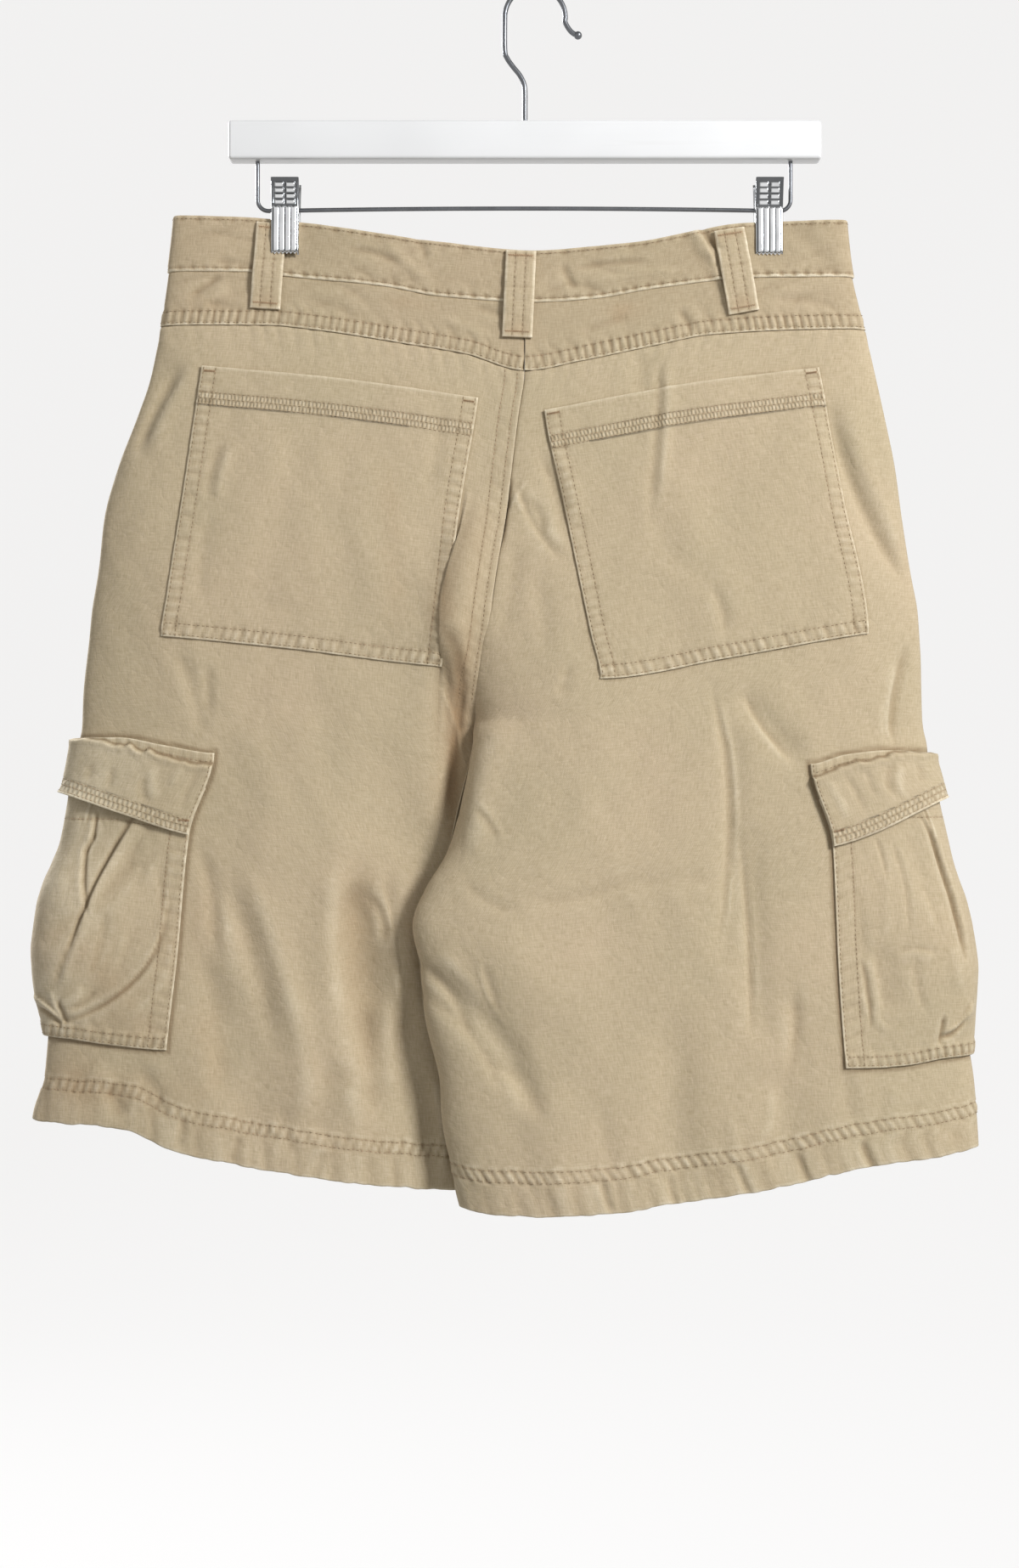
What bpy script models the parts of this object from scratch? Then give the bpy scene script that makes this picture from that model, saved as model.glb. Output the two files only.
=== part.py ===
"""Cargo shorts in washed cotton twill, clipped by the waistband to a trouser hanger.

The shorts hang flat with their back towards -Y, and the wearer's left is at -X. The origin is where
the hanger's hook rests on what holds it, with +Z up. Lengths in the tables are millimetres, a drop is
how far a point lies below the origin, and every mesh is built in metres.

The cloth is one form: at each drop a flattened ring for each half, read from the table BODY. Every
panel, band, pocket, flap and loop is cut out of that form between its seam lines and given its wall.
"""

import math
from functools import cache

import bmesh
import bpy
import numpy as np
from mathutils import Matrix, Vector

MM = 0.001
LEFT, RIGHT = -1, 1
BACK, FRONT = -1, 1

# Cloth
CLOTH = 1.2
DOUBLE_CLOTH = 2.4
SEAM_GAP = 0.3
LAID_GAP = 0.4
HEM_HEIGHT = 30.0
HEM_STEP = 3.0
BAND_PROUD = 0.8
CROTCH_DROP = 470.0
WAIST_EDGE_RADIUS = 3.0
LEG_EDGE_RADIUS = 6.0
INNER_RADIUS = {LEFT: 5.0, RIGHT: 10.0}
SWAY_HOLD = 12
SHARE_NUDGE, DROP_NUDGE = 1e-4, 0.5
SIDE_REACH = 0.6
ARC_SAMPLES = 100
TUCKED = {(LEFT, BACK): 1.0, (RIGHT, FRONT): 0.8}
FRONT_WAIST_DIP = 12.0
FRONT_HEM_RISE = 4.0

# Pockets, flaps, loops and closure
CARGO_WIDTH = 186.0
CARGO_BULGE = 11.0
CARGO_RISE = 45.0
FLAP_CLEAR = 0.4
FLAP_ROLL = 0.34
POCKET_SLACK = 1.6
LOOP_WIDTH = 19.5
LOOP_WALL = 2.0
LOOP_SLACK = 1.2
LOOP_FOOT_GAP = 0.5
FLY_WIDTH = 38.0
FLY_DROP = 385.0
FLY_CURVE = 0.7
BUTTON_X, BUTTON_DROP = -7.0, 196.0
BUTTON_RADIUS = 9.0
BUTTON_THICK = 3.0

# Hanger
BAR_LENGTH = 380.0
BAR_HEIGHT = 25.0
BAR_THICK = 14.0
BAR_CENTRE_X = -6.5
BAR_TOP_DROP = 85.5
BAR_EDGE = 1.5
HOOK_WIRE_RADIUS = 1.65
HOOK_INNER_RADIUS = 17.8
HOOK_BALL_RADIUS = 2.6
ROD_RADIUS = 1.35
ROD_DROP = 142.3
ROD_BOW = 1.6
ROD_LEFT_X, ROD_RIGHT_X = -178.3, 164.3
ROD_BEND_RADIUS = 7.0
CLIP_WIDTH = 17.8
CLIP_TOP_DROP = 123.2
CLIP_FOOT_DROP = 172.0
CLIP_PLATE = 1.2
JAW_BEND_DROP, JAW_CLOSED_DROP = 151.0, 161.0
BARREL_RADIUS = 3.4
BARREL_LENGTH = 13.0
BARREL_SIDES = 12


def table(columns, *rows):
    """Named columns of numbers, one row for each section."""
    return dict(zip(columns.split(), np.array(rows, float).T))


# The halves' outlines. Side and inner edges are x, the sway is how far the inner part of each leg swings
# to the front (+) or back (-), back and front are how deep the cloth bellies there, closed is 0 across
# the hips and 1 where the legs are closed rings, free is how much of the sway reaches the inner edge,
# and tuck is how far the legs are pressed flat where the left one passes behind the right.
BODY = table(
    "drop left_side right_side left_inner right_inner left_sway right_sway back front closed free tuck",
    (140, -231.0, 199.0, -7.0, -7.0, 0, 0, 4.6, 4.6, 0, 0, 0),
    (183, -236.0, 204.0, -7.0, -7.0, 0, 0, 5.8, 5.6, 0, 0, 0),
    (217, -241.0, 212.0, -6.5, -6.5, 0, 0, 8.4, 7.0, 0, 0, 0),
    (250, -247.5, 219.5, -7.0, -7.0, 0, 0, 12.0, 8.5, 0, 0, 0),
    (275, -256.0, 225.0, -10.5, -10.5, 0, 0, 14.5, 9.5, 0, 0, 0),
    (307, -268.0, 231.5, -14.5, -14.5, 0, 0, 17.0, 10.5, 0, 0, 0),
    (340, -277.0, 236.0, -18.5, -18.5, 0, 0, 19.0, 11.5, 0, 0, 0),
    (372, -280.5, 241.0, -24.0, -24.0, 0, -1, 21.0, 12.5, 0, 0, 0),
    (405, -286.0, 247.0, -29.0, -29.0, 1, -3, 22.5, 13.5, 0.12, 0, 0),
    (430, -289.5, 249.5, -34.0, -34.0, 2, -5.5, 23.5, 14.0, 0.5, 0, 0),
    (455, -292.0, 250.0, -37.0, -37.0, 3.2, -8.5, 24.5, 14.5, 0.85, 0, 0),
    (CROTCH_DROP, -292.5, 250.5, -38.0, -38.0, 4, -10.4, 25.0, 15.0, 1, 0, 0.05),
    (474, -292.7, 251.0, -37.8, -38.4, 4.3, -10.9, 25.0, 15.0, 1, 0.45, 0.1),
    (480, -293.0, 251.5, -36.5, -39.5, 4.8, -11.7, 25.0, 15.0, 1, 0.75, 0.15),
    (500, -294.5, 253.5, -31.0, -43.0, 6.6, -14.2, 25.0, 15.0, 1, 1, 0.3),
    (527, -297.0, 257.0, -20.0, -50.0, 8.6, -17.2, 25.0, 15.0, 1, 1, 0.42),
    (552, -300.0, 261.0, -11.0, -56.5, 10, -19.6, 25.0, 15.0, 1, 1, 0.5),
    (577, -303.5, 265.0, -3.0, -70.0, 10.6, -21.6, 25.0, 15.0, 1, 1, 0.5),
    (600, -307.0, 269.0, 3.0, -77.5, 11, -22.6, 25.0, 15.0, 1, 1, 0.5),
    (625, -310.0, 272.0, 8.0, -73.0, 11, -23, 25.0, 15.0, 1, 1, 0.5),
    (657, -312.0, 275.0, 12.0, -70.5, 11, -22.6, 25.0, 15.0, 1, 1, 0.5),
    (698, -315.6, 282.0, 16.0, -61.0, 11, -22, 25.0, 15.0, 1, 1, 0.5),
    (726, -323.0, 284.5, 18.0, -57.5, 11, -21.6, 25.0, 15.5, 1, 1, 0.5),
    (768, -325.0, 286.0, 20.0, -50.5, 11, -21, 25.0, 16.0, 1, 1, 0.5),
    (790, -326.0, 286.0, 20.0, -46.0, 11, -20.5, 25.0, 16.0, 1, 1, 0.5),
)

# Seam lines, as the drop at each x
WAIST_TOP = table(
    "x drop",
    (-231, 146.0),
    (-180, 147.6),
    (-151, 150.3),
    (-120, 154.7),
    (-60, 163.4),
    (0, 168.9),
    (38, 166.1),
    (69, 162.9),
    (102, 156.3),
    (134, 150.9),
    (200, 148.7),
)
BAND_BOTTOM = table(
    "x drop",
    (-235, 182.4),
    (-182, 182.7),
    (-159, 185.7),
    (-98, 191.9),
    (-60, 198.7),
    (0, 202.5),
    (36, 200.4),
    (78, 193.3),
    (141, 186.5),
    (204, 185.7),
)
YOKE_BOTTOM = table(
    "x drop",
    (-241, 217.0),
    (-171, 217.4),
    (-140, 220.5),
    (-81, 229.7),
    (-44, 236.2),
    (-6, 247.0),
    (28, 241.0),
    (78, 230.2),
    (111, 223.7),
    (161, 220.5),
    (213, 219.2),
)
HEM = {
    LEFT: table(
        "x drop",
        (-324, 725.5),
        (-266, 728.8),
        (-225, 744.3),
        (-184, 752.9),
        (-143, 759.9),
        (-102, 764.4),
        (-54, 768.4),
        (20, 766.0),
    ),
    RIGHT: table(
        "x drop",
        (-52, 769.0),
        (-40, 777.0),
        (0, 783.2),
        (47, 781.3),
        (89, 776.5),
        (136, 767.4),
        (216, 751.3),
        (259, 745.7),
        (286, 741.0),
    ),
}

# The largest folds of the back: a soft trough (-) or ridge (+) along a line that bows sideways
FOLDS = table(
    "start_x start_drop end_x end_drop bow width height",
    (-40, 335, -57, 452, -4, 11, 5.0),
    (-62, 405, -56, 535, 3, 9, -7.0),
    (-110, 578, -99, 655, -5, 17, -7.0),
    (-90, 590, -86, 660, 3, 9, 3.5),
    (-72, 626, -2, 708, 8, 10, -4.5),
    (-36, 600, 20, 660, 0, 22, 3.0),
    (122, 452, 117, 625, 6, 9, -3.0),
    (136, 540, 140, 668, 0, 10, -3.0),
    (130, 450, 168, 498, 0, 9, -3.0),
    (186, 268, 240, 388, -6, 11, -3.5),
    (240, 420, 229, 488, -3, 9, -3.5),
    (-226, 240, -258, 302, -3, 11, -3.5),
    (-196, 640, -178, 752, 5, 16, -3.0),
    (88, 655, 96, 776, -4, 15, -3.5),
    (150, 690, 158, 762, 3, 13, -3.0),
    (8, 700, 14, 780, 2, 16, 2.5),
    (-160, 140, -160, 182, 0, 24, -1.7),
    (150, 140, 150, 182, 0, 24, -1.7),
)
# The front is plainer: the pinch of the clips and a few long hanging folds
FRONT_FOLDS = table(
    "start_x start_drop end_x end_drop bow width height",
    (-160, 140, -160, 182, 0, 24, -1.7),
    (150, 140, 150, 182, 0, 24, -1.7),
    (-150, 300, -168, 470, 8, 16, -3.0),
    (150, 330, 166, 500, -8, 16, -3.0),
    (-120, 540, -105, 740, -6, 18, -3.5),
    (110, 520, 100, 745, 6, 18, -3.5),
    (20, 360, -30, 450, 5, 12, 3.0),
    (190, 600, 196, 730, 4, 14, -3.0),
    (-222, 560, -230, 720, 4, 14, -3.0),
)
# Folds of the cargo pockets, in mm round the leg from the side seam (back is +) and drop
CARGO_FOLDS = {
    LEFT: table(
        "start_x start_drop end_x end_drop bow width height",
        (68, 536, 12, 612, 3, 7, -4.0),
        (66, 596, 30, 652, 4, 8, -3.5),
        (18, 526, 10, 588, 0, 7, 3.0),
        (-40, 530, -20, 610, 3, 9, -3.5),
    ),
    RIGHT: table(
        "start_x start_drop end_x end_drop bow width height",
        (30, 534, 16, 600, 3, 7, -4.0),
        (62, 612, 58, 655, 0, 8, -3.0),
        (12, 530, 4, 592, 0, 7, 3.0),
        (-44, 535, -26, 615, 3, 9, -3.5),
    ),
}

# The lines that cut the cloth, as the drop at each x, carried on to the centre and the side
POCKET_TOP = {
    LEFT: table("x drop", (-250, 240.0), (-212.4, 244.1), (-120, 253.5), (-36.3, 265.1), (-7, 268.5)),
    RIGHT: table("x drop", (-10, 276.0), (5.7, 273.2), (90, 257.5), (180.7, 245.2), (222, 240.0)),
}
POCKET_FOOT = {
    LEFT: table("x drop", (-290, 413.0), (-237.1, 416.9), (-160, 424.5), (-67, 435.2), (-30, 437.0)),
    RIGHT: table("x drop", (-36, 440.0), (40.7, 444.4), (120, 431.5), (211.1, 415.3), (250, 411.0)),
}
FLAP_TOP = {
    LEFT: table("x drop", (-294, 481.3), (-265, 481.0), (-235, 486.0), (-203, 491.0), (-31, 493.0)),
    RIGHT: table("x drop", (-42, 494.0), (173, 498.0), (196, 492.0), (222, 489.4), (253, 490.5)),
}
FLAP_FOOT = {
    LEFT: table("x drop", (-302, 514.5), (-262, 529.0), (-220, 542.6), (-200, 546.0), (-15, 546.0)),
    RIGHT: table(
        "x drop",
        (-54, 548.0),
        (180, 551.0),
        (192, 549.0),
        (212, 542.4),
        (238, 530.0),
        (262, 517.0),
    ),
}
CARGO_FOOT = {
    LEFT: table("x drop", (-314, 671.7), (-297, 672.6), (-272, 675.8), (-233, 679.0), (12, 682.0)),
    RIGHT: table(
        "x drop",
        (-66, 690.0),
        (195, 689.9),
        (213, 689.9),
        (238, 688.3),
        (260, 685.0),
        (279, 684.0),
    ),
}
# Where the pockets' edges run down the back: the grid of each panel follows them from yoke to hem
BACK_EDGES = {
    LEFT: table(
        "drop inner_x outer_x",
        (220, -31.0, -209.5),
        (244, -34.0, -212.4),
        (265, -36.3, -215.4),
        (341, -48.5, -226.3),
        (417, -63.5, -237.1),
        (435, -67.0, -234.0),
        (491, -88.0, -203.0),
        (542, -95.0, -219.0),
        (619, -98.0, -226.5),
        (679, -98.0, -233.4),
        (770, -90.0, -240.0),
    ),
    RIGHT: table(
        "drop inner_x outer_x",
        (220, 2.0, 176.0),
        (245, 3.8, 180.7),
        (273, 5.7, 185.7),
        (330, 17.3, 196.0),
        (415, 34.7, 211.1),
        (444, 40.7, 205.0),
        (498, 10.0, 173.4),
        (549, -8.0, 187.5),
        (619, -32.0, 190.5),
        (690, -18.0, 195.5),
        (785, 0.0, 205.0),
    ),
}
INNER_COLUMNS, MIDDLE_COLUMNS, OUTER_COLUMNS = 3, 9, 6
FRONT_COLUMNS = 5
# Which of the back's lines bound the flap and the cargo pocket; the front lacks its two pocket lines
FLAP_LINE, CARGO_FOOT_LINE = 4, 6
POCKET_LINES = 2
# Rows between one line and the next, as shares of the way down
POCKET_ROWS = (0, 0.1, 0.28, 0.46, 0.64, 0.82)
PLAIN_ROWS = (0, 1 / 6, 2 / 6, 3 / 6, 4 / 6, 5 / 6)
CROTCH_ROWS = (0, 0.4, 0.72)
ABOVE_FLAP_ROWS = (0, 0.45)
FLAP_ROWS = (0, 0.34, 0.67)
HALF_ROWS = (0, 0.5)
FRONT_TOP_ROWS = (0, 0.3, 0.58, 0.76, 0.87, 0.95)

LOOPS = table(
    "face top_x top_drop foot_x foot_drop",
    (BACK, -168.8, 151.3, -172.6, 207.2),
    (BACK, -9.0, 169.6, -11.6, 225.8),
    (BACK, 124.0, 155.5, 133.4, 209.6),
    (FRONT, -118.0, 166.5, -119.0, 215.0),
    (FRONT, 90.0, 169.5, 92.0, 215.0),
)
LOOP_NAMES = (
    "belt_loop_back_left",
    "belt_loop_back_centre",
    "belt_loop_back_right",
    "belt_loop_front_left",
    "belt_loop_front_right",
)
LOOP_ROWS = 6
FLY_ROWS = (0, 0.2, 0.4, 0.6, 0.75, 0.85, 0.92, 0.97, 1.0)
# The button's turned half-section, as shares of its radius and thickness
BUTTON_PROFILE = table(
    "out up",
    (0, 0),
    (0.82, 0),
    (1, 0.35),
    (1, 0.75),
    (0.9, 1),
    (0.74, 1),
    (0.62, 0.72),
    (0, 0.72),
)

# Where the hook's wire runs from the loop down into the bar
HOOK_STEM = table(
    "x drop",
    (-19.45, 38.5),
    (-18.0, 44.0),
    (-14.2, 49.5),
    (-9.8, 55.0),
    (-7.2, 60.4),
    (-6.5, 66.0),
    (-6.5, 76.0),
)
HOOK_TIP = table("x drop", (20.8, 23.8), (23.2, 27.0), (25.6, 28.7), (27.6, 29.4))

CLIPS = {
    "clip_left": {"x": -160.0, "jaw_back": 8.6, "jaw_front": 5.3},
    "clip_right": {"x": 150.0, "jaw_back": 5.3, "jaw_front": 5.3},
}
CLIP_PROFILE = table(
    "drop spread",
    (CLIP_TOP_DROP, 8.4),
    (131, 6.2),
    (137, 4.2),
    (ROD_DROP, BARREL_RADIUS + SEAM_GAP),
    (146.5, BARREL_RADIUS + SEAM_GAP),
)


def clear_scene():
    for item in list(bpy.data.objects):
        bpy.data.objects.remove(item, do_unlink=True)


def material(name, colour, roughness, metallic=0.0):
    made = bpy.data.materials.new(name)
    made.use_nodes = True
    shader = made.node_tree.nodes["Principled BSDF"]
    shader.inputs["Base Color"].default_value = (*colour, 1.0)
    shader.inputs["Roughness"].default_value = roughness
    shader.inputs["Metallic"].default_value = metallic
    made.diffuse_color = (*colour, 1.0)
    return made


def smooth(rows, key, column, at):
    """One column read at any key, on a cubic that never overshoots its rows."""
    keys, values = rows[key], rows[column]
    step = np.diff(keys)
    slope = np.diff(values) / step
    tangent = np.zeros(len(keys))
    tangent[0], tangent[-1] = slope[0], slope[-1]
    same_way = slope[:-1] * slope[1:] > 0
    mean = 2 * slope[:-1] * slope[1:] / np.where(same_way, slope[:-1] + slope[1:], 1)
    tangent[1:-1] = np.where(same_way, mean, 0)
    at = np.asarray(at, float)
    i = np.clip(np.searchsorted(keys, at) - 1, 0, len(keys) - 2)
    f = np.clip((at - keys[i]) / step[i], 0, 1)
    rise = values[i + 1] - values[i]
    start, end = tangent[i] * step[i], tangent[i + 1] * step[i]
    return values[i] + f * start + f**2 * (3 * rise - 2 * start - end) + f**3 * (start + end - 2 * rise)


def ease(low, high, value):
    """0 up to low and 1 from high on, with a soft rise between."""
    f = np.clip((value - low) / (high - low), 0, 1)
    return f * f * (3 - 2 * f)


def relief(folds, x, drop):
    """How far the folds push the cloth out at a place: soft at the sides, fading at both ends."""
    total = np.zeros(np.broadcast(x, drop).shape)
    for x0, d0, x1, d1, bow, width, height in zip(*folds.values()):
        length = math.hypot(x1 - x0, d1 - d0)
        along_x, along_d = (x1 - x0) / length, (d1 - d0) / length
        along = ((x - x0) * along_x + (drop - d0) * along_d) / length
        across = (x - x0) * along_d - (drop - d0) * along_x
        inside = np.clip(along, 0, 1)
        across = across - bow * 4 * inside * (1 - inside)
        beyond = np.abs(along - inside) * length
        fade = ease(-0.1, 0.25, along) * ease(1.1, 0.75, along)
        total = total + height * fade * np.exp(-(across**2 + beyond**2) / width**2)
    return total


def edge_power(radius, width, depth):
    """The power of t that rounds an edge of the section to this radius."""
    return np.maximum(2 * radius * width / depth**2, 2.5)


def body_xy(side, face, t, drop):
    """The cloth's form at share t of the way from the centre (0) to the side seam (1)."""
    name = "left" if side == LEFT else "right"
    side_x = smooth(BODY, "drop", name + "_side", drop)
    inner_x = smooth(BODY, "drop", name + "_inner", drop)
    held = (1 - smooth(BODY, "drop", "free", drop)) * (1 - t) ** SWAY_HOLD
    sway = smooth(BODY, "drop", name + "_sway", drop) * (1 - t) ** 1.5 * (1 - held)
    closed = smooth(BODY, "drop", "closed", drop)
    depth = smooth(BODY, "drop", "back" if face == BACK else "front", drop)
    x = inner_x + (side_x - inner_x) * t
    width = np.abs(side_x - inner_x)
    radius = WAIST_EDGE_RADIUS + (LEG_EDGE_RADIUS - WAIST_EDGE_RADIUS) * ease(200, 400, drop)
    side_round = np.sqrt(np.clip(1 - t ** edge_power(radius, width, depth), 0, 1))
    tuck = smooth(BODY, "drop", "tuck", drop) * TUCKED.get((side, face), 0.0)
    inner_power = edge_power(INNER_RADIUS[side], width, depth * (1 - tuck))
    inner_round = np.sqrt(np.clip(1 - closed * (1 - t) ** inner_power, 0, 1))
    belly = depth + relief(FOLDS if face == BACK else FRONT_FOLDS, x, drop)
    belly = belly * (1 - tuck * ease(0.42, 0.2, t))
    y = sway + face * belly * side_round * inner_round
    return x, y


def skin(side, face, t, drop, lift=0.0):
    """A point of the form moved out by lift, as (..., 3) in mm."""
    t, drop = np.broadcast_arrays(np.asarray(t, float), np.asarray(drop, float))

    def place(t, drop):
        x, y = body_xy(side, face, t, drop)
        return np.stack((x, y, -drop), axis=-1)

    across = place(np.clip(t + SHARE_NUDGE, 0, 1), drop) - place(np.clip(t - SHARE_NUDGE, 0, 1), drop)
    down = place(t, drop + DROP_NUDGE) - place(t, drop - DROP_NUDGE)
    normal = np.cross(across, down) * face * side
    normal = normal / np.linalg.norm(normal, axis=-1, keepdims=True)
    return place(t, drop) + normal * np.asarray(lift, float)[..., None]


def edges_x(side, drop):
    name = "left" if side == LEFT else "right"
    return smooth(BODY, "drop", name + "_side", drop), smooth(BODY, "drop", name + "_inner", drop)


def share_at_x(side, x, drop):
    side_x, inner_x = edges_x(side, drop)
    return np.clip((x - inner_x) / (side_x - inner_x), 0, 1)


def form_at_x(side, face, x, drop, lift):
    """A point of the form at a given x, moved out by lift."""
    return skin(side, face, share_at_x(side, x, drop), drop, lift)


def arc_table(side, face, drop):
    """Shares near the side seam and how far round the leg from it each lies."""
    t = 1 - SIDE_REACH * np.linspace(0, 1, ARC_SAMPLES) ** 2
    x, y = body_xy(side, face, t, np.full(t.shape, float(drop)))
    return t, np.concatenate(([0], np.hypot(np.diff(x), np.diff(y)).cumsum()))


def arc_at_share(side, face, t, drop):
    """How far round the leg from the side seam each point of a grid lies."""
    out = np.empty(np.shape(t))
    for i in np.ndindex(out.shape):
        shares, run = arc_table(side, face, drop[i])
        out[i] = np.interp(1 - t[i], 1 - shares, run)
    return out


@cache
def front_cargo_edge(side):
    """Where the cargo pocket's front edge lies, its width measured round from its back edge."""
    levels = np.linspace(BODY["drop"][0], BODY["drop"][-1], 40)
    found = []
    for drop in levels:
        outer_x = smooth(BACK_EDGES[side], "drop", "outer_x", drop)
        shares, run = arc_table(side, BACK, drop)
        back = np.interp(1 - share_at_x(side, outer_x, drop), 1 - shares, run)
        shares, run = arc_table(side, FRONT, drop)
        found.append(np.interp(CARGO_WIDTH - back, run, shares))
    return table("drop share", *zip(levels, found))


def column_count(face):
    return (FRONT_COLUMNS if face == FRONT else INNER_COLUMNS + MIDDLE_COLUMNS) + OUTER_COLUMNS + 1


def column_shares(side, face, drop):
    """The share of each column of a panel's grid, on a row whose drop is given column by column."""
    near_side = 1 - (1 - np.linspace(0, 1, OUTER_COLUMNS + 1)[1:]) ** 1.7
    if face == BACK:
        near_centre = np.linspace(0, 1, INNER_COLUMNS + 1) ** 1.8
        first, last = INNER_COLUMNS + 1, INNER_COLUMNS + MIDDLE_COLUMNS + 1
        inner = share_at_x(side, smooth(BACK_EDGES[side], "drop", "inner_x", drop), drop)
        outer = share_at_x(side, smooth(BACK_EDGES[side], "drop", "outer_x", drop), drop)
        middle = np.linspace(0, 1, MIDDLE_COLUMNS + 1)[1:]
        return np.concatenate(
            (
                near_centre * inner[:first],
                inner[first:last] + (outer - inner)[first:last] * middle,
                outer[last:] + (1 - outer[last:]) * near_side,
            )
        )
    edge = smooth(front_cargo_edge(side), "drop", "share", drop)
    near_centre = np.linspace(0, 1, FRONT_COLUMNS + 1) ** 1.35
    first = FRONT_COLUMNS + 1
    return np.concatenate((near_centre * edge[:first], edge[first:] + (1 - edge[first:]) * near_side))


def front_dip(x):
    """How much lower the front of the waist hangs than the back."""
    return FRONT_WAIST_DIP * np.clip(1 - ((x + 15) / 216) ** 2, 0, 1)


def line_drop(line, side, face, t):
    """The drop of a cutting line where column t crosses it."""
    if not isinstance(line, dict):
        return np.full(np.shape(t), float(line))
    drop = np.full(np.shape(t), float(line["drop"].mean()))
    for _ in range(6):
        side_x, inner_x = edges_x(side, drop)
        x = inner_x + (side_x - inner_x) * t
        drop = smooth(line, "x", "drop", x)
        if face == FRONT and (line is WAIST_TOP or line is BAND_BOTTOM):
            drop = drop + front_dip(x)
    if face == FRONT and line is HEM[side]:
        drop = drop - FRONT_HEM_RISE * 4 * t * (1 - t)
    return drop


def panel_levels(side, face):
    """The lines down a leg panel, each with its rows' shares of the way to the next line."""
    low = [
        (CROTCH_DROP, ABOVE_FLAP_ROWS),
        (FLAP_TOP[side], FLAP_ROWS),
        (FLAP_FOOT[side], PLAIN_ROWS),
        (CARGO_FOOT[side], HALF_ROWS),
    ]
    if face == FRONT:
        return [(BAND_BOTTOM, FRONT_TOP_ROWS)] + low
    high = [(YOKE_BOTTOM, (0,)), (POCKET_TOP[side], POCKET_ROWS), (POCKET_FOOT[side], CROTCH_ROWS)]
    return high + low


@cache
def panel_grid(side, face):
    """Shares and drops of a leg panel's grid, and the row on which each line lies."""
    levels = panel_levels(side, face)
    lines = [line for line, _ in levels] + [HEM[side]]
    shares, drops, line_rows = [], [], []
    turn = HEM_HEIGHT + HEM_STEP
    for number, (line, fractions) in enumerate(levels):
        line_rows.append(len(drops))
        for fraction in fractions:
            t = np.linspace(0, 1, column_count(face))
            for _ in range(5):
                start = line_drop(line, side, face, t) + (SEAM_GAP if number == 0 else 0)
                end = line_drop(lines[number + 1], side, face, t)
                end = end - (turn if number == len(levels) - 1 else 0)
                drop = start + (end - start) * fraction
                t = column_shares(side, face, drop)
            shares.append(t)
            drops.append(drop)
    for above in (turn, HEM_HEIGHT - HEM_STEP, 0):
        t = shares[-1]
        for _ in range(5):
            drop = line_drop(HEM[side], side, face, t) - above
            t = column_shares(side, face, drop)
        shares.append(t)
        drops.append(drop)
    return np.array(shares), np.array(drops), line_rows


def slab(name, outer, inner, finish, ring=False):
    """A closed wall between two grids of points, in mm, with its rims."""
    rows, columns = outer.shape[:2]
    count = rows * columns
    points = np.concatenate((outer.reshape(-1, 3), inner.reshape(-1, 3))) * MM
    faces = []

    def corner(row, column, deep=0):
        return deep * count + row * columns + column % columns

    across = columns if ring else columns - 1
    for row in range(rows - 1):
        for column in range(across):
            a, b = corner(row, column), corner(row, column + 1)
            c, d = corner(row + 1, column + 1), corner(row + 1, column)
            for corners in ((a, b, c), (a, c, d)):
                faces.append(corners)
                faces.append(tuple(point + count for point in reversed(corners)))
    for row in (0, rows - 1):
        for column in range(across):
            a, b = corner(row, column), corner(row, column + 1)
            faces.append((a, a + count, b + count, b))
    if not ring:
        for column in (0, columns - 1):
            for row in range(rows - 1):
                a, b = corner(row, column), corner(row + 1, column)
                faces.append((a, b, b + count, a + count))
    return add_mesh(name, points.tolist(), faces, finish)


def add_mesh(name, points, faces, finish):
    """One closed body from points in metres, its faces turned outwards."""
    mesh = bpy.data.meshes.new(name)
    mesh.from_pydata(points, [], faces)
    shape = bmesh.new()
    shape.from_mesh(mesh)
    bmesh.ops.recalc_face_normals(shape, faces=shape.faces)
    shape.to_mesh(mesh)
    shape.free()
    mesh.shade_smooth()
    mesh.set_sharp_from_angle(angle=math.radians(50))
    mesh.materials.append(finish)
    item = bpy.data.objects.new(name, mesh)
    bpy.context.scene.collection.objects.link(item)
    return item


def seam_shift(side, face):
    """Half a seam's gap away from the neighbour on the other side of each seam."""
    return np.array((side * SEAM_GAP / 2, face * SEAM_GAP / 2, 0))


def leg_panel(name, side, face, cloth):
    """A back or front leg, from its top seam to the turned-up hem."""
    t, drops, _ = panel_grid(side, face)
    walls = np.full(drops.shape, CLOTH)
    walls[-2:] = DOUBLE_CLOTH
    shift = seam_shift(side, face)
    return slab(name, skin(side, face, t, drops) + shift, skin(side, face, t, drops, -walls) + shift, cloth)


def band_shares(side, face, line):
    """The columns of the nearest panel, met along one of the band's seam lines."""
    t = np.linspace(0, 1, column_count(face))
    for _ in range(5):
        drop = line_drop(line, side, face, t)
        t = column_shares(side, face, drop)
    return t


def yoke(name, side, cloth):
    t = band_shares(side, BACK, YOKE_BOTTOM)
    top = line_drop(BAND_BOTTOM, side, BACK, t) + SEAM_GAP
    foot = line_drop(YOKE_BOTTOM, side, BACK, t)
    drops = np.array([top, (top + foot) / 2, foot])
    shift = seam_shift(side, BACK)
    outer = skin(side, BACK, t[None, :], drops) + shift
    inner = skin(side, BACK, t[None, :], drops, -CLOTH) + shift
    return slab(name, outer, inner, cloth)


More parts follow.
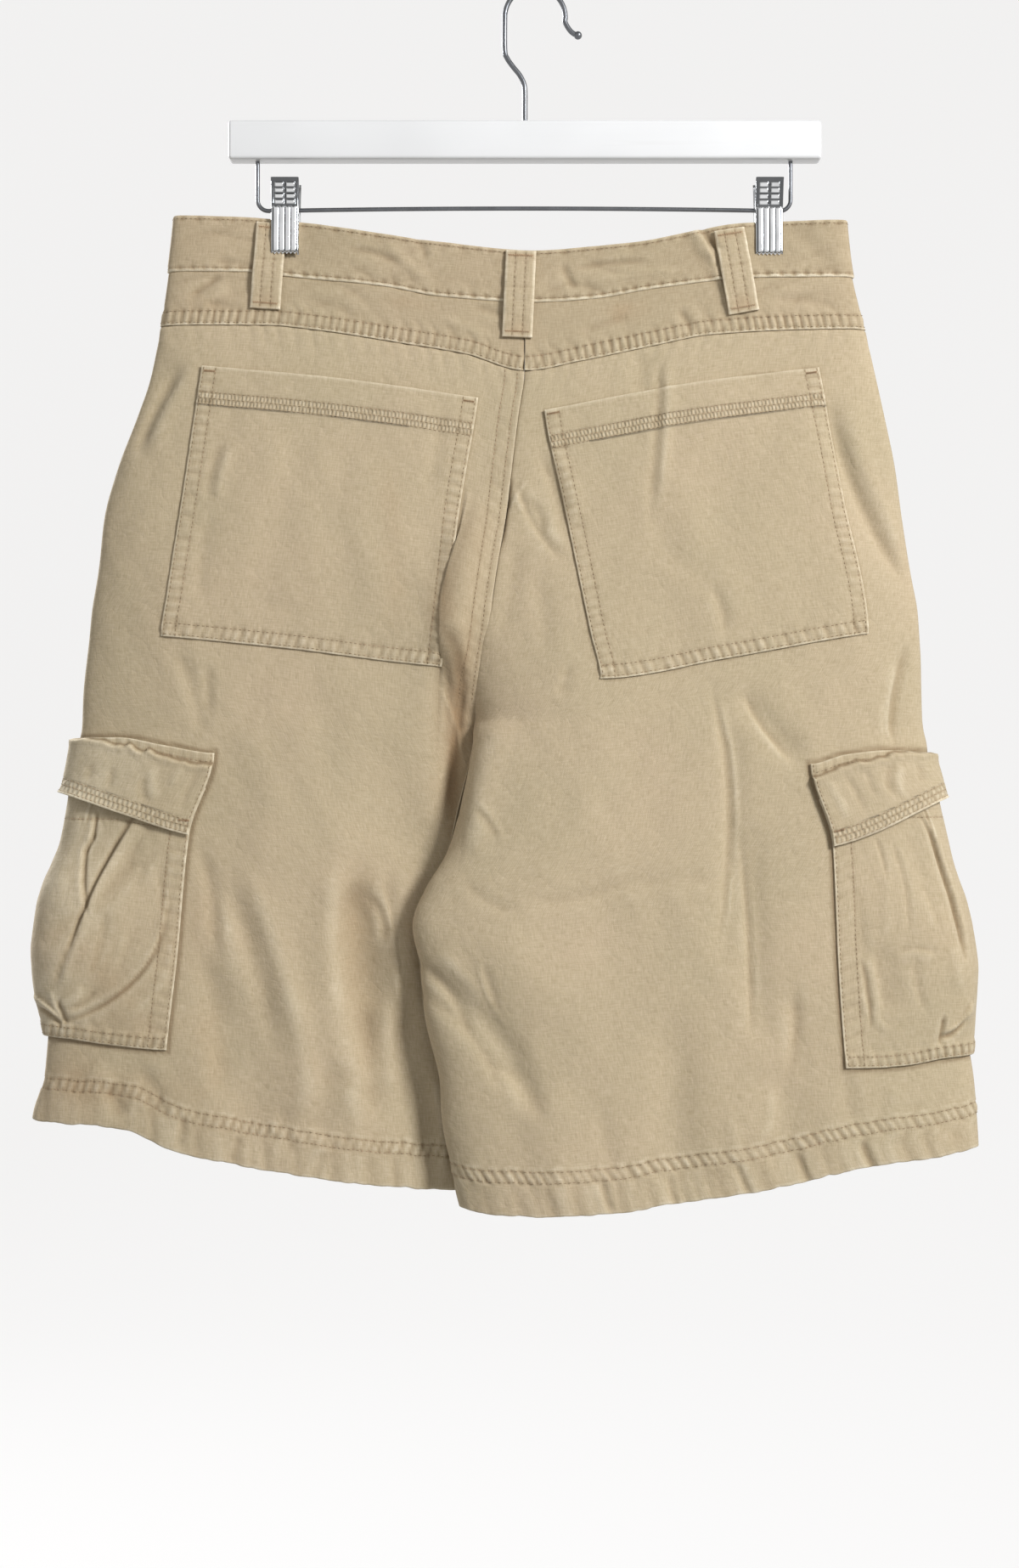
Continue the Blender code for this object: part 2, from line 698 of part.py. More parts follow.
def waistband(cloth):
    """One ring of doubled cloth round both halves."""
    outer, inner = [], []
    stretches = ((LEFT, BACK, True), (RIGHT, BACK, False), (RIGHT, FRONT, True), (LEFT, FRONT, False))
    for side, face, inwards in stretches:
        t = band_shares(side, face, YOKE_BOTTOM if face == BACK else BAND_BOTTOM)
        t = t[::-1][:-1] if inwards else t[:-1]
        top = line_drop(WAIST_TOP, side, face, t)
        foot = line_drop(BAND_BOTTOM, side, face, t)
        drops = np.array([top, (top + foot) / 2, foot])
        outer.append(skin(side, face, t[None, :], drops, BAND_PROUD))
        inner.append(skin(side, face, t[None, :], drops, BAND_PROUD - DOUBLE_CLOTH))
    return slab("waistband", np.concatenate(outer, 1), np.concatenate(inner, 1), cloth, ring=True)


def back_pocket(name, side, cloth):
    """A patch pocket on the panel's own grid, with a doubled band along its open top."""
    t, drops, line_rows = panel_grid(side, BACK)
    rows = slice(line_rows[1], line_rows[2] + 1)
    columns = slice(INNER_COLUMNS, INNER_COLUMNS + MIDDLE_COLUMNS + 1)
    t, drops = t[rows, columns], drops[rows, columns]
    down = np.array(POCKET_ROWS + (1,))[:, None]
    across = np.linspace(0, 1, t.shape[1])[None, :]
    slack = POCKET_SLACK * np.sin(math.pi * across) * np.sqrt(1 - down)
    wall = np.where(down <= POCKET_ROWS[1], DOUBLE_CLOTH, CLOTH) * np.ones(t.shape)
    inner = skin(side, BACK, t, drops, LAID_GAP + slack)
    outer = skin(side, BACK, t, drops, LAID_GAP + slack + wall)
    return slab(name, outer, inner, cloth)


def round_the_leg(side, first_line, last_line):
    """The panels' grids between two lines, from the pocket's back edge round the side to its front."""
    found = []
    for face in (BACK, FRONT):
        t, drops, line_rows = panel_grid(side, face)
        offset = POCKET_LINES if face == FRONT else 0
        rows = slice(line_rows[first_line - offset], line_rows[last_line - offset] + 1)
        start = INNER_COLUMNS + MIDDLE_COLUMNS if face == BACK else FRONT_COLUMNS
        t, drops = t[rows, start:], drops[rows, start:]
        arcs = arc_at_share(side, face, t, drops)
        found.append((t, drops, -face * arcs))
    (t_back, d_back, a_back), (t_front, d_front, a_front) = found
    front = slice(-2, None, -1)

    def place(lift):
        at_back = skin(side, BACK, t_back, d_back, lift[:, : t_back.shape[1]])
        at_front = skin(side, FRONT, t_front[:, front], d_front[:, front], lift[:, t_back.shape[1] :])
        return np.concatenate((at_back, at_front), axis=1)

    arcs = np.concatenate((a_back, a_front[:, front]), axis=1)
    drops = np.concatenate((d_back, d_front[:, front]), axis=1)
    return place, arcs, drops


def cargo_lift(side, arcs, drops):
    """How far the pocket's cloth stands off the leg: sewn down at both ends and the foot."""
    rows = len(arcs)
    down = np.linspace(-1 / (rows - 1), 1, rows)[:, None]
    from_edge = np.minimum(arcs[:, :1] - arcs, arcs - arcs[:, -1:])
    swell = ease(-0.75, 0.5, down) * ease(1.0, 0.7, down)
    bulge = CARGO_BULGE * swell * ease(0, CARGO_RISE, from_edge)
    folds = relief(CARGO_FOLDS[side], arcs, drops) * ease(0, 20, from_edge) * ease(1.0, 0.85, down)
    return LAID_GAP + np.maximum(bulge + folds, 0)


def cargo_pocket(name, side, cloth):
    """The pleated pouch that wraps the side seam, open at the top under its flap."""
    place, arcs, drops = round_the_leg(side, FLAP_LINE, CARGO_FOOT_LINE)
    lift = cargo_lift(side, arcs, drops)
    wall = np.full(arcs.shape, CLOTH)
    wall[-1:] = DOUBLE_CLOTH
    return slab(name, place(lift + wall)[1:], place(lift)[1:], cloth)


def cargo_flap(name, side, cloth):
    """The doubled flap: sewn to the leg along its top, rolled over, lying on the pocket."""
    place, arcs, drops = round_the_leg(side, FLAP_LINE, CARGO_FOOT_LINE)
    rows = len(FLAP_ROWS) + 1
    lift = cargo_lift(side, arcs, drops)
    down = np.array(FLAP_ROWS + (1,))[:, None]
    over_pocket = lift[:rows] + DOUBLE_CLOTH + FLAP_CLEAR
    lift[:rows] = LAID_GAP + ease(0, FLAP_ROLL, down) * (over_pocket - LAID_GAP)
    return slab(name, place(lift + DOUBLE_CLOTH)[:rows], place(lift)[:rows], cloth)


def belt_loop(name, row, cloth):
    """A strip from the band's top edge to just below the band, slack in the middle for a belt."""
    face, top_x, top_drop, foot_x, foot_drop = row
    outer, inner = [], []
    for share in np.linspace(0, 1, LOOP_ROWS + 1):
        x = top_x + (foot_x - top_x) * share + LOOP_WIDTH * np.array((-0.5, 0.0, 0.5))
        tilt = (foot_x - top_x) / (foot_drop - top_drop)
        drop = top_drop + (foot_drop - top_drop) * share - tilt * (x - x[1])
        off_band = BAND_PROUD + LAID_GAP + LOOP_SLACK * math.sin(math.pi * share)
        lift = off_band * ease(1.0, 0.75, share) + LOOP_FOOT_GAP * ease(0.75, 1.0, share)
        for grid, out in ((inner, lift), (outer, lift + LOOP_WALL)):
            sides = [LEFT if a < centre_x(d) else RIGHT for a, d in zip(x, drop)]
            grid.append([form_at_x(side, face, a, d, out) for side, a, d in zip(sides, x, drop)])
    return slab(name, np.array(outer), np.array(inner), cloth)


def centre_x(drop):
    """Where the halves meet above the crotch."""
    return smooth(BODY, "drop", "left_inner", drop)


def fly(cloth):
    """The shaped flap over the closure, from the band down the left front beside the centre seam."""
    outer, inner = [], []
    band_foot = BAND_BOTTOM["drop"].max()
    for share in FLY_ROWS:
        round_off = np.clip((share - FLY_CURVE) / (1 - FLY_CURVE), 0, 0.96)
        reach = FLY_WIDTH * math.sqrt(1 - round_off**2)
        inner_edge = centre_x(band_foot + (FLY_DROP - band_foot) * share) - LAID_GAP
        x = inner_edge - reach * np.linspace(0, 1, 4)
        top = smooth(BAND_BOTTOM, "x", "drop", x) + front_dip(x) + 2 * SEAM_GAP
        drops = top + (FLY_DROP - top) * share
        inner.append(form_at_x(LEFT, FRONT, x, drops, LAID_GAP))
        outer.append(form_at_x(LEFT, FRONT, x, drops, LAID_GAP + CLOTH))
    return slab("fly", np.array(outer), np.array(inner), cloth)


def button(finish):
    """A turned button on the band's centre front, with a raised rim."""
    lift = np.array(BAND_PROUD + LAID_GAP)
    seat = form_at_x(LEFT, FRONT, np.array(BUTTON_X), np.array(BUTTON_DROP), lift)
    shape = bmesh.new()
    profile = zip(BUTTON_PROFILE["out"] * BUTTON_RADIUS * MM, BUTTON_PROFILE["up"] * BUTTON_THICK * MM)
    ring = [shape.verts.new((out, 0, up)) for out, up in profile]
    edges = [shape.edges.new(pair) for pair in zip(ring, ring[1:])]
    bmesh.ops.spin(shape, geom=ring + edges, axis=(0, 0, 1), cent=(0, 0, 0), angle=2 * math.pi, steps=16)
    bmesh.ops.remove_doubles(shape, verts=shape.verts, dist=1e-6)
    bmesh.ops.dissolve_degenerate(shape, edges=shape.edges, dist=1e-6)
    shape.transform(Matrix.Translation(Vector(seat) * MM) @ Matrix.Rotation(math.radians(-90), 4, "X"))
    bmesh.ops.recalc_face_normals(shape, faces=shape.faces)
    mesh = bpy.data.meshes.new("button")
    shape.to_mesh(mesh)
    shape.free()
    mesh.shade_smooth()
    mesh.set_sharp_from_angle(angle=math.radians(50))
    mesh.materials.append(finish)
    item = bpy.data.objects.new("button", mesh)
    bpy.context.scene.collection.objects.link(item)
    return item


def wire(name, path, radius, finish, swell=None):
    """A round wire along (x, drop) points in the hanger's plane."""
    curve = bpy.data.curves.new(name, "CURVE")
    curve.dimensions = "3D"
    curve.bevel_depth = radius * MM
    curve.bevel_resolution = 2
    curve.use_fill_caps = True
    line = curve.splines.new("POLY")
    line.points.add(len(path) - 1)
    for i, (x, drop) in enumerate(path):
        line.points[i].co = (x * MM, 0, -drop * MM, 1)
        line.points[i].radius = swell[i] if swell else 1.0
    curve.materials.append(finish)
    item = bpy.data.objects.new(name, curve)
    bpy.context.scene.collection.objects.link(item)
    return item


def arc_points(centre, radius, start, end, steps):
    angles = np.radians(np.linspace(start, end, steps + 1))
    return [(centre[0] + radius * math.cos(a), centre[1] - radius * math.sin(a)) for a in angles]


def hanger_hook(steel):
    """The loop that hangs over a knob or rail, its S-bend, and a ball on the tip."""
    radius = HOOK_INNER_RADIUS + HOOK_WIRE_RADIUS
    stem = list(zip(HOOK_STEM["x"], HOOK_STEM["drop"]))[::-1]
    loop = arc_points((0, HOOK_INNER_RADIUS), radius, 180, -8, 20)
    tip = list(zip(HOOK_TIP["x"], HOOK_TIP["drop"]))
    path = [(stem[0][0], BAR_TOP_DROP - SEAM_GAP)] + stem + loop + tip
    ball = HOOK_BALL_RADIUS / HOOK_WIRE_RADIUS
    swell = [1.0] * (len(path) - 3) + [ball * 0.8, ball, ball * 0.6]
    return wire("hanger_hook", path, HOOK_WIRE_RADIUS, steel, swell)


def hanger_rod(steel):
    """The steel rod below the bar: up into the bar at both ends, bowed up a little between."""
    top = BAR_TOP_DROP + BAR_HEIGHT + SEAM_GAP
    left = ROD_LEFT_X + ROD_BEND_RADIUS
    right = ROD_RIGHT_X - ROD_BEND_RADIUS
    bend_drop = ROD_DROP - ROD_BEND_RADIUS
    path = [(ROD_LEFT_X, top)]
    path += arc_points((left, bend_drop), ROD_BEND_RADIUS, 180, 270, 5)
    for share in np.linspace(0, 1, 13)[1:-1]:
        x = left + (right - left) * share
        path.append((x, ROD_DROP - ROD_BOW * 4 * share * (1 - share)))
    path += arc_points((right, bend_drop), ROD_BEND_RADIUS, 270, 360, 5)
    path.append((ROD_RIGHT_X, top))
    return wire("hanger_rod", path, ROD_RADIUS, steel)


def hanger_bar(paint):
    shape = bmesh.new()
    bmesh.ops.create_cube(shape, size=1.0)
    shape.transform(Matrix.Diagonal((BAR_LENGTH * MM, BAR_THICK * MM, BAR_HEIGHT * MM, 1)))
    mesh = bpy.data.meshes.new("hanger_bar")
    shape.to_mesh(mesh)
    shape.free()
    mesh.materials.append(paint)
    item = bpy.data.objects.new("hanger_bar", mesh)
    item.location = (BAR_CENTRE_X * MM, 0, -(BAR_TOP_DROP + BAR_HEIGHT / 2) * MM)
    bpy.context.scene.collection.objects.link(item)
    bevel = item.modifiers.new("eased_edges", "BEVEL")
    bevel.width = BAR_EDGE * MM
    bevel.segments = 2
    return item


def rod_drop_at(x):
    left, right = ROD_LEFT_X + ROD_BEND_RADIUS, ROD_RIGHT_X - ROD_BEND_RADIUS
    share = (x - left) / (right - left)
    return ROD_DROP - ROD_BOW * 4 * share * (1 - share)


def clip_plate(name, x, face, jaw, steel):
    """One sprung jaw: spread at the thumb end, close at the barrel, gripping the band at its foot."""
    profile = list(zip(CLIP_PROFILE["drop"], CLIP_PROFILE["spread"]))
    profile += [(JAW_BEND_DROP, jaw - 0.5), (JAW_CLOSED_DROP, jaw), (CLIP_FOOT_DROP, jaw)]
    outer, inner = [], []
    for drop, spread in profile:
        edges = (x - CLIP_WIDTH / 2, x + CLIP_WIDTH / 2)
        outer.append([(a, face * (spread + CLIP_PLATE), -drop) for a in edges])
        inner.append([(a, face * spread, -drop) for a in edges])
    return slab(name, np.array(outer), np.array(inner), steel)


def clip_barrel(name, x, steel):
    """The spring's barrel round the rod, which the clip slides and turns on."""
    sides = BARREL_SIDES
    drop = rod_drop_at(x)
    bore = ROD_RADIUS + SEAM_GAP
    ends = (-BARREL_LENGTH / 2, BARREL_LENGTH / 2)
    rings = []
    for offset in ends:
        for radius in (bore, BARREL_RADIUS):
            for k in range(sides):
                a = 2 * math.pi * (k + 0.5) / sides
                rings.append((x + offset, radius * math.cos(a), -drop + radius * math.sin(a)))
    faces = []
    order = (0, 1, 3, 2)
    for here, there in zip(order, order[1:] + order[:1]):
        for k in range(sides):
            n = (k + 1) % sides
            faces.append((here * sides + k, here * sides + n, there * sides + n, there * sides + k))
    points = [(a * MM, b * MM, c * MM) for a, b, c in rings]
    return add_mesh(name, points, faces, steel)


def main():
    clear_scene()
    cloth = material("washed_khaki_twill", (0.50, 0.41, 0.29), 0.9)
    horn = material("dark_button", (0.16, 0.11, 0.07), 0.45)
    paint = material("white_painted_wood", (0.86, 0.86, 0.85), 0.45)
    wire_steel = material("hanger_steel", (0.55, 0.56, 0.58), 0.3, 1.0)
    chrome = material("clip_chrome", (0.8, 0.81, 0.83), 0.15, 1.0)

    for side, word in ((LEFT, "left"), (RIGHT, "right")):
        leg_panel("back_" + word, side, BACK, cloth)
        leg_panel("front_" + word, side, FRONT, cloth)
        yoke("yoke_" + word, side, cloth)
        back_pocket("back_pocket_" + word, side, cloth)
        cargo_pocket("cargo_pocket_" + word, side, cloth)
        cargo_flap("cargo_flap_" + word, side, cloth)
    waistband(cloth)
    fly(cloth)
    button(horn)
    for name, row in zip(LOOP_NAMES, zip(*LOOPS.values())):
        belt_loop(name, row, cloth)

    hanger_bar(paint)
    hanger_hook(wire_steel)
    hanger_rod(wire_steel)
    for name, clip in CLIPS.items():
        clip_plate(name + "_outer_jaw", clip["x"], BACK, clip["jaw_back"], chrome)
        clip_plate(name + "_inner_jaw", clip["x"], FRONT, clip["jaw_front"], chrome)
        clip_barrel(name + "_barrel", clip["x"], wire_steel)


main()
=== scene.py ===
"""The looks of washed khaki cargo shorts, clipped by the waistband to a white trouser hanger.

The cloth is one form, read from the table BODY: at each drop a flattened ring for each half. Every piece
that is cut from it is a thin shell on that form, with its creases, its puckered seams and its stitching.
Tables are in millimetres, a drop is how far a place lies below the hook's inner top, and x is to the right.
"""

import math
from functools import cache

import bmesh
import bpy
import numpy as np
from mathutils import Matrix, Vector


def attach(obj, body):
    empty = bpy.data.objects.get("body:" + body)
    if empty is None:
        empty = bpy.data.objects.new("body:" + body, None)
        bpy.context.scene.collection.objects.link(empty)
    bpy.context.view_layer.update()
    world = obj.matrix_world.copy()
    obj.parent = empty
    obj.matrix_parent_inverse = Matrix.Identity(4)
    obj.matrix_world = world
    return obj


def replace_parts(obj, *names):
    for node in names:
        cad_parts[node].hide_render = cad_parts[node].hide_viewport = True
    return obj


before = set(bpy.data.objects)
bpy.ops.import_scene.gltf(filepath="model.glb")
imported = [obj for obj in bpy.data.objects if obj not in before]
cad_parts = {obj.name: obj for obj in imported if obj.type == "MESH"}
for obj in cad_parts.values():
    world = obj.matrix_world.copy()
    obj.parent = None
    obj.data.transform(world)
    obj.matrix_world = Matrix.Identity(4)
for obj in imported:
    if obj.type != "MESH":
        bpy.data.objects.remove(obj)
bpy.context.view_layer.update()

MM = 0.001
TURN = 2 * math.pi
LEFT, RIGHT = -1, 1
BACK, FRONT = -1, 1
WORD = {LEFT: "left", RIGHT: "right"}


def table(columns, *rows):
    """Named columns of numbers, one row for each section."""
    return dict(zip(columns.split(), np.array(rows, float).T))


def seam_line(*rows):
    """A line across the garment, as pairs of x and drop."""
    return table("x drop", *rows)


def creases(*rows):
    """Lines from start to end, each with its sideways bow, its width, its height and perhaps its lip."""
    return table("start_x start_drop end_x end_drop bow width height lip", *rows)


# ------------------------------------------------------------------ sizes of the garment

# Thickness of the cloth, how far seams and patches stand apart or tuck in, and the garment's measures
CLOTH = 1.2
DOUBLE_CLOTH = 2.4
SEAM_GAP = 0.1
TUCK_UNDER = 2.5
CROTCH_LAP = 1.4
LAID_GAP = 0.4
HEM_HEIGHT = 30.0
BAND_PROUD = 0.8
CROTCH_DROP = 470.0
FRONT_WAIST_DIP = 12.0
FRONT_HEM_RISE = 4.0
CARGO_WIDTH = 186.0
CARGO_RISE = 82.0
FLAP_SHARE = 3 / 9
FLAP_CLEAR = 0.4
FLAP_ROWS = (1.7, 5.5, 9.3)
# Shares of the flap's and the pouch's height: where the table of the pouch's swell starts above it, and how
# much of the flap's share the pouch's mouth lies below the flap's top
SWELL_START = 1 / 9
MOUTH_SHARE = 0.36 * FLAP_SHARE
MOUTH_ROW = {LEFT: 29.0, RIGHT: 18.5}
PLEAT_X = {LEFT: 65.5, RIGHT: 65.0}
POCKET_BAND = 25.5
POCKET_BAND_ROWS = (17.0, 20.9, 24.8)
POCKET_SLACK = 1.6
LOOP_WIDTH = 19.5
LOOP_WALL = 2.0
LOOP_SLACK = 1.2
FLY_WIDTH = 38.0
FLY_DROP = 385.0

# How the form is rounded at the side and inner edges, how the legs' sway is held there, and how finely
# it is sampled
WAIST_EDGE_RADIUS, LEG_EDGE_RADIUS = 3.0, 6.0
INNER_RADIUS = {LEFT: 5.0, RIGHT: 10.0}
SWAY_HOLD = 12
TUCKED = {(LEFT, BACK): 1.0, (RIGHT, FRONT): 0.8}
SHARE_NUDGE, DROP_NUDGE = 1e-4, 0.5
SIDE_REACH = 0.6
ARC_SAMPLES = 100

# The halves' outlines. Side and inner edges are x, the sway is how far the inner part of each leg swings
# to the front (+) or back (-), back and front are how deep the cloth bellies there, closed is 0 across
# the hips and 1 where the legs are closed rings, free is how much of the sway reaches the inner edge,
# and tuck is how far the legs are pressed flat where the left one passes behind the right.
BODY = table(
    "drop left_side right_side left_inner right_inner left_sway right_sway back front closed free tuck",
    (140, -231, 199, -7, -7, 0, 0, 4.6, 4.6, 0, 0, 0),
    (183, -236, 204, -7, -7, 0, 0, 5.8, 5.6, 0, 0, 0),
    (217, -241, 212, -6.5, -6.5, 0, 0, 8.4, 7, 0, 0, 0),
    (250, -247.5, 219.5, -7, -7, 0, 0, 12, 8.5, 0, 0, 0),
    (275, -256, 225, -10.5, -10.5, 0, 0, 14.5, 9.5, 0, 0, 0),
    (307, -268, 231.5, -14.5, -14.5, 0, 0, 17, 10.5, 0, 0, 0),
    (340, -277, 236, -18.5, -18.5, 0, 0, 19, 11.5, 0, 0, 0),
    (372, -280.5, 241, -24, -24, 0, -1, 21, 12.5, 0, 0, 0),
    (405, -286, 247, -29, -29, 1, -3, 22.5, 13.5, 0.12, 0, 0),
    (430, -289.5, 249.5, -34, -34, 2, -5.5, 23.5, 14, 0.5, 0, 0),
    (455, -292, 250, -37, -37, 3.2, -8.5, 24.5, 14.5, 0.85, 0, 0),
    (CROTCH_DROP, -292.5, 250.5, -38, -38, 4, -10.4, 25, 15, 1, 0, 0.05),
    (474, -292.7, 251, -37.8, -38.4, 4.3, -10.9, 25, 15, 1, 0.45, 0.1),
    (480, -293, 251.5, -36.5, -39.5, 4.8, -11.7, 25, 15, 1, 0.75, 0.15),
    (500, -294.5, 253.5, -31, -43, 6.6, -14.2, 25, 15, 1, 1, 0.3),
    (527, -297, 257, -20, -50, 8.6, -17.2, 25, 15, 1, 1, 0.42),
    (552, -300, 261, -11, -56.5, 10, -19.6, 25, 15, 1, 1, 0.5),
    (577, -303.5, 265, -3, -70, 10.6, -21.6, 25, 15, 1, 1, 0.5),
    (600, -307, 269, 3, -77.5, 11, -22.6, 25, 15, 1, 1, 0.5),
    (625, -310, 272, 8, -73, 11, -23, 25, 15, 1, 1, 0.5),
    (657, -312, 275, 12, -70.5, 11, -22.6, 25, 15, 1, 1, 0.5),
    (698, -315.6, 282, 16, -61, 11, -22, 25, 15, 1, 1, 0.5),
    (726, -323, 284.5, 18, -57.5, 11, -21.6, 25, 15.5, 1, 1, 0.5),
    (768, -325, 286, 20, -50.5, 11, -21, 25, 16, 1, 1, 0.5),
    (790, -326, 286, 20, -46, 11, -20.5, 25, 16, 1, 1, 0.5),
)

# Seam lines, as the drop at each x
WAIST_TOP = seam_line(
    (-231, 146), (-180, 147.6), (-151, 150.3), (-120, 154.7), (-60, 163.4), (0, 168.9), (38, 166.1),
    (69, 162.9), (102, 156.3), (134, 150.9), (200, 148.7),
)
BAND_BOTTOM = seam_line(
    (-235, 182.4), (-182, 182.7), (-159, 185.7), (-98, 191.9), (-60, 198.7), (0, 202.5), (36, 200.4),
    (78, 193.3), (141, 186.5), (204, 185.7),
)
YOKE_BOTTOM = seam_line(
    (-241, 217), (-171, 217.4), (-140, 220.5), (-81, 229.7), (-44, 236.2), (-6, 247), (28, 241),
    (78, 230.2), (111, 223.7), (161, 220.5), (213, 219.2),
)
HEM = {
    LEFT: seam_line(
        (-324, 725.5), (-266, 728.8), (-225, 744.3), (-184, 752.9), (-143, 759.9), (-102, 765.8),
        (-54, 770.5), (20, 768),
    ),
    RIGHT: seam_line(
        (-52, 776), (-40, 779.5), (0, 781.5), (47, 779.8), (89, 773.8), (136, 768), (216, 752),
        (259, 747.4), (286, 742.2),
    ),
}
POCKET_TOP = {
    LEFT: seam_line((-250, 240), (-212.4, 244.1), (-120, 253.5), (-36.3, 265.1), (-7, 268.5)),
    RIGHT: seam_line((-10, 276), (5.7, 273.2), (90, 257.5), (180.7, 245.2), (222, 240)),
}
POCKET_FOOT = {
    LEFT: seam_line((-290, 413), (-237.1, 416.9), (-160, 424.5), (-67, 435.2), (-30, 437)),
    RIGHT: seam_line((-36, 440), (40.7, 444.4), (120, 431.5), (211.1, 415.3), (250, 411)),
}
FLAP_TOP = {
    LEFT: seam_line((-294, 481.3), (-265, 481), (-235, 486), (-203, 491), (-31, 493)),
    RIGHT: seam_line((-42, 494), (173, 498), (196, 492), (222, 489.4), (253, 490.5)),
}
FLAP_FOOT = {
    LEFT: seam_line((-302, 514.5), (-262, 529), (-220, 542.6), (-200, 546), (-15, 546)),
    RIGHT: seam_line((-54, 548), (180, 551), (192, 549), (212, 542.4), (238, 530), (262, 517)),
}
CARGO_FOOT = {
    LEFT: seam_line((-314, 671.7), (-297, 672.6), (-272, 675.8), (-233, 679), (12, 682)),
    RIGHT: seam_line((-66, 690), (195, 689.9), (213, 689.9), (238, 688.3), (260, 685), (279, 684)),
}
# Where the pockets' edges run down the back
BACK_EDGES = {
    LEFT: table(
        "drop inner_x outer_x",
        (220, -31, -209.5), (244, -34, -212.4), (265, -36.3, -215.4), (341, -48.5, -226.3),
        (390, -53.6, -233.3), (417, -57, -237.1), (435, -59.4, -234), (491, -88, -203), (542, -95, -219),
        (619, -98, -226.5), (679, -98, -233.4), (770, -90, -240),
    ),
    RIGHT: table(
        "drop inner_x outer_x",
        (220, 2, 176), (245, 3.8, 180.7), (273, 5.7, 185.7), (330, 17.3, 196), (415, 34.7, 211.1),
        (444, 40.7, 205), (498, 10, 173.4), (549, -8, 187.5), (619, -32, 190.5), (690, -18, 195.5),
        (785, 0, 205),
    ),
}

# The largest folds of the back: a soft trough (-) or ridge (+) along a line that bows sideways
FOLDS = creases(
    (-40, 335, -57, 452, -4, 11, 5),
    (-60, 424, -54, 540, 3, 9, -8.5),
    (-110, 578, -99, 655, -5, 17, -7),
    (-90, 590, -86, 660, 3, 9, 3.5),
    (-72, 626, -2, 708, 8, 10, -4.5),
    (-36, 600, 20, 660, 0, 22, 3),
    (122, 452, 117, 625, 6, 9, -3),
    (136, 540, 140, 668, 0, 10, -3),
    (130, 450, 168, 498, 0, 9, -3),
    (186, 268, 240, 388, -6, 11, -3.5),
    (240, 420, 229, 488, -3, 9, -3.5),
    (-226, 240, -258, 302, -3, 11, -3.5),
    (-196, 640, -178, 752, 5, 16, -3),
    (88, 655, 96, 776, -4, 15, -3.5),
    (150, 690, 158, 762, 3, 13, -3),
    (8, 700, 14, 780, 2, 16, 2.5),
    (-160, 140, -160, 182, 0, 24, -1.7),
    (150, 140, 150, 182, 0, 24, -1.7),
)
FRONT_FOLDS = creases(
    (-160, 140, -160, 182, 0, 24, -1.7),
    (150, 140, 150, 182, 0, 24, -1.7),
    (-150, 300, -168, 470, 8, 16, -3),
    (150, 330, 166, 500, -8, 16, -3),
    (-120, 540, -105, 740, -6, 18, -3.5),
    (110, 520, 100, 745, 6, 18, -3.5),
    (20, 360, -30, 450, 5, 12, 3),
    (190, 600, 196, 730, 4, 14, -3),
    (-222, 560, -230, 720, 4, 14, -3),
)
CARGO_FOLDS = {
    LEFT: creases(
        (68, 536, 12, 612, 3, 7, -2.4),
        (66, 596, 30, 652, 4, 8, -1.4),
        (18, 526, 10, 588, 0, 7, 1.6),
        (-40, 530, -20, 610, 3, 9, -3.5),
    ),
    RIGHT: creases(
        (30, 534, 16, 600, 3, 7, -1.4),
        (62, 612, 58, 655, 0, 8, -1.2),
        (12, 530, 4, 592, 0, 7, 1),
        (-44, 535, -26, 615, 3, 9, -3.5),
    ),
}

# ------------------------------------------------------------------ creases

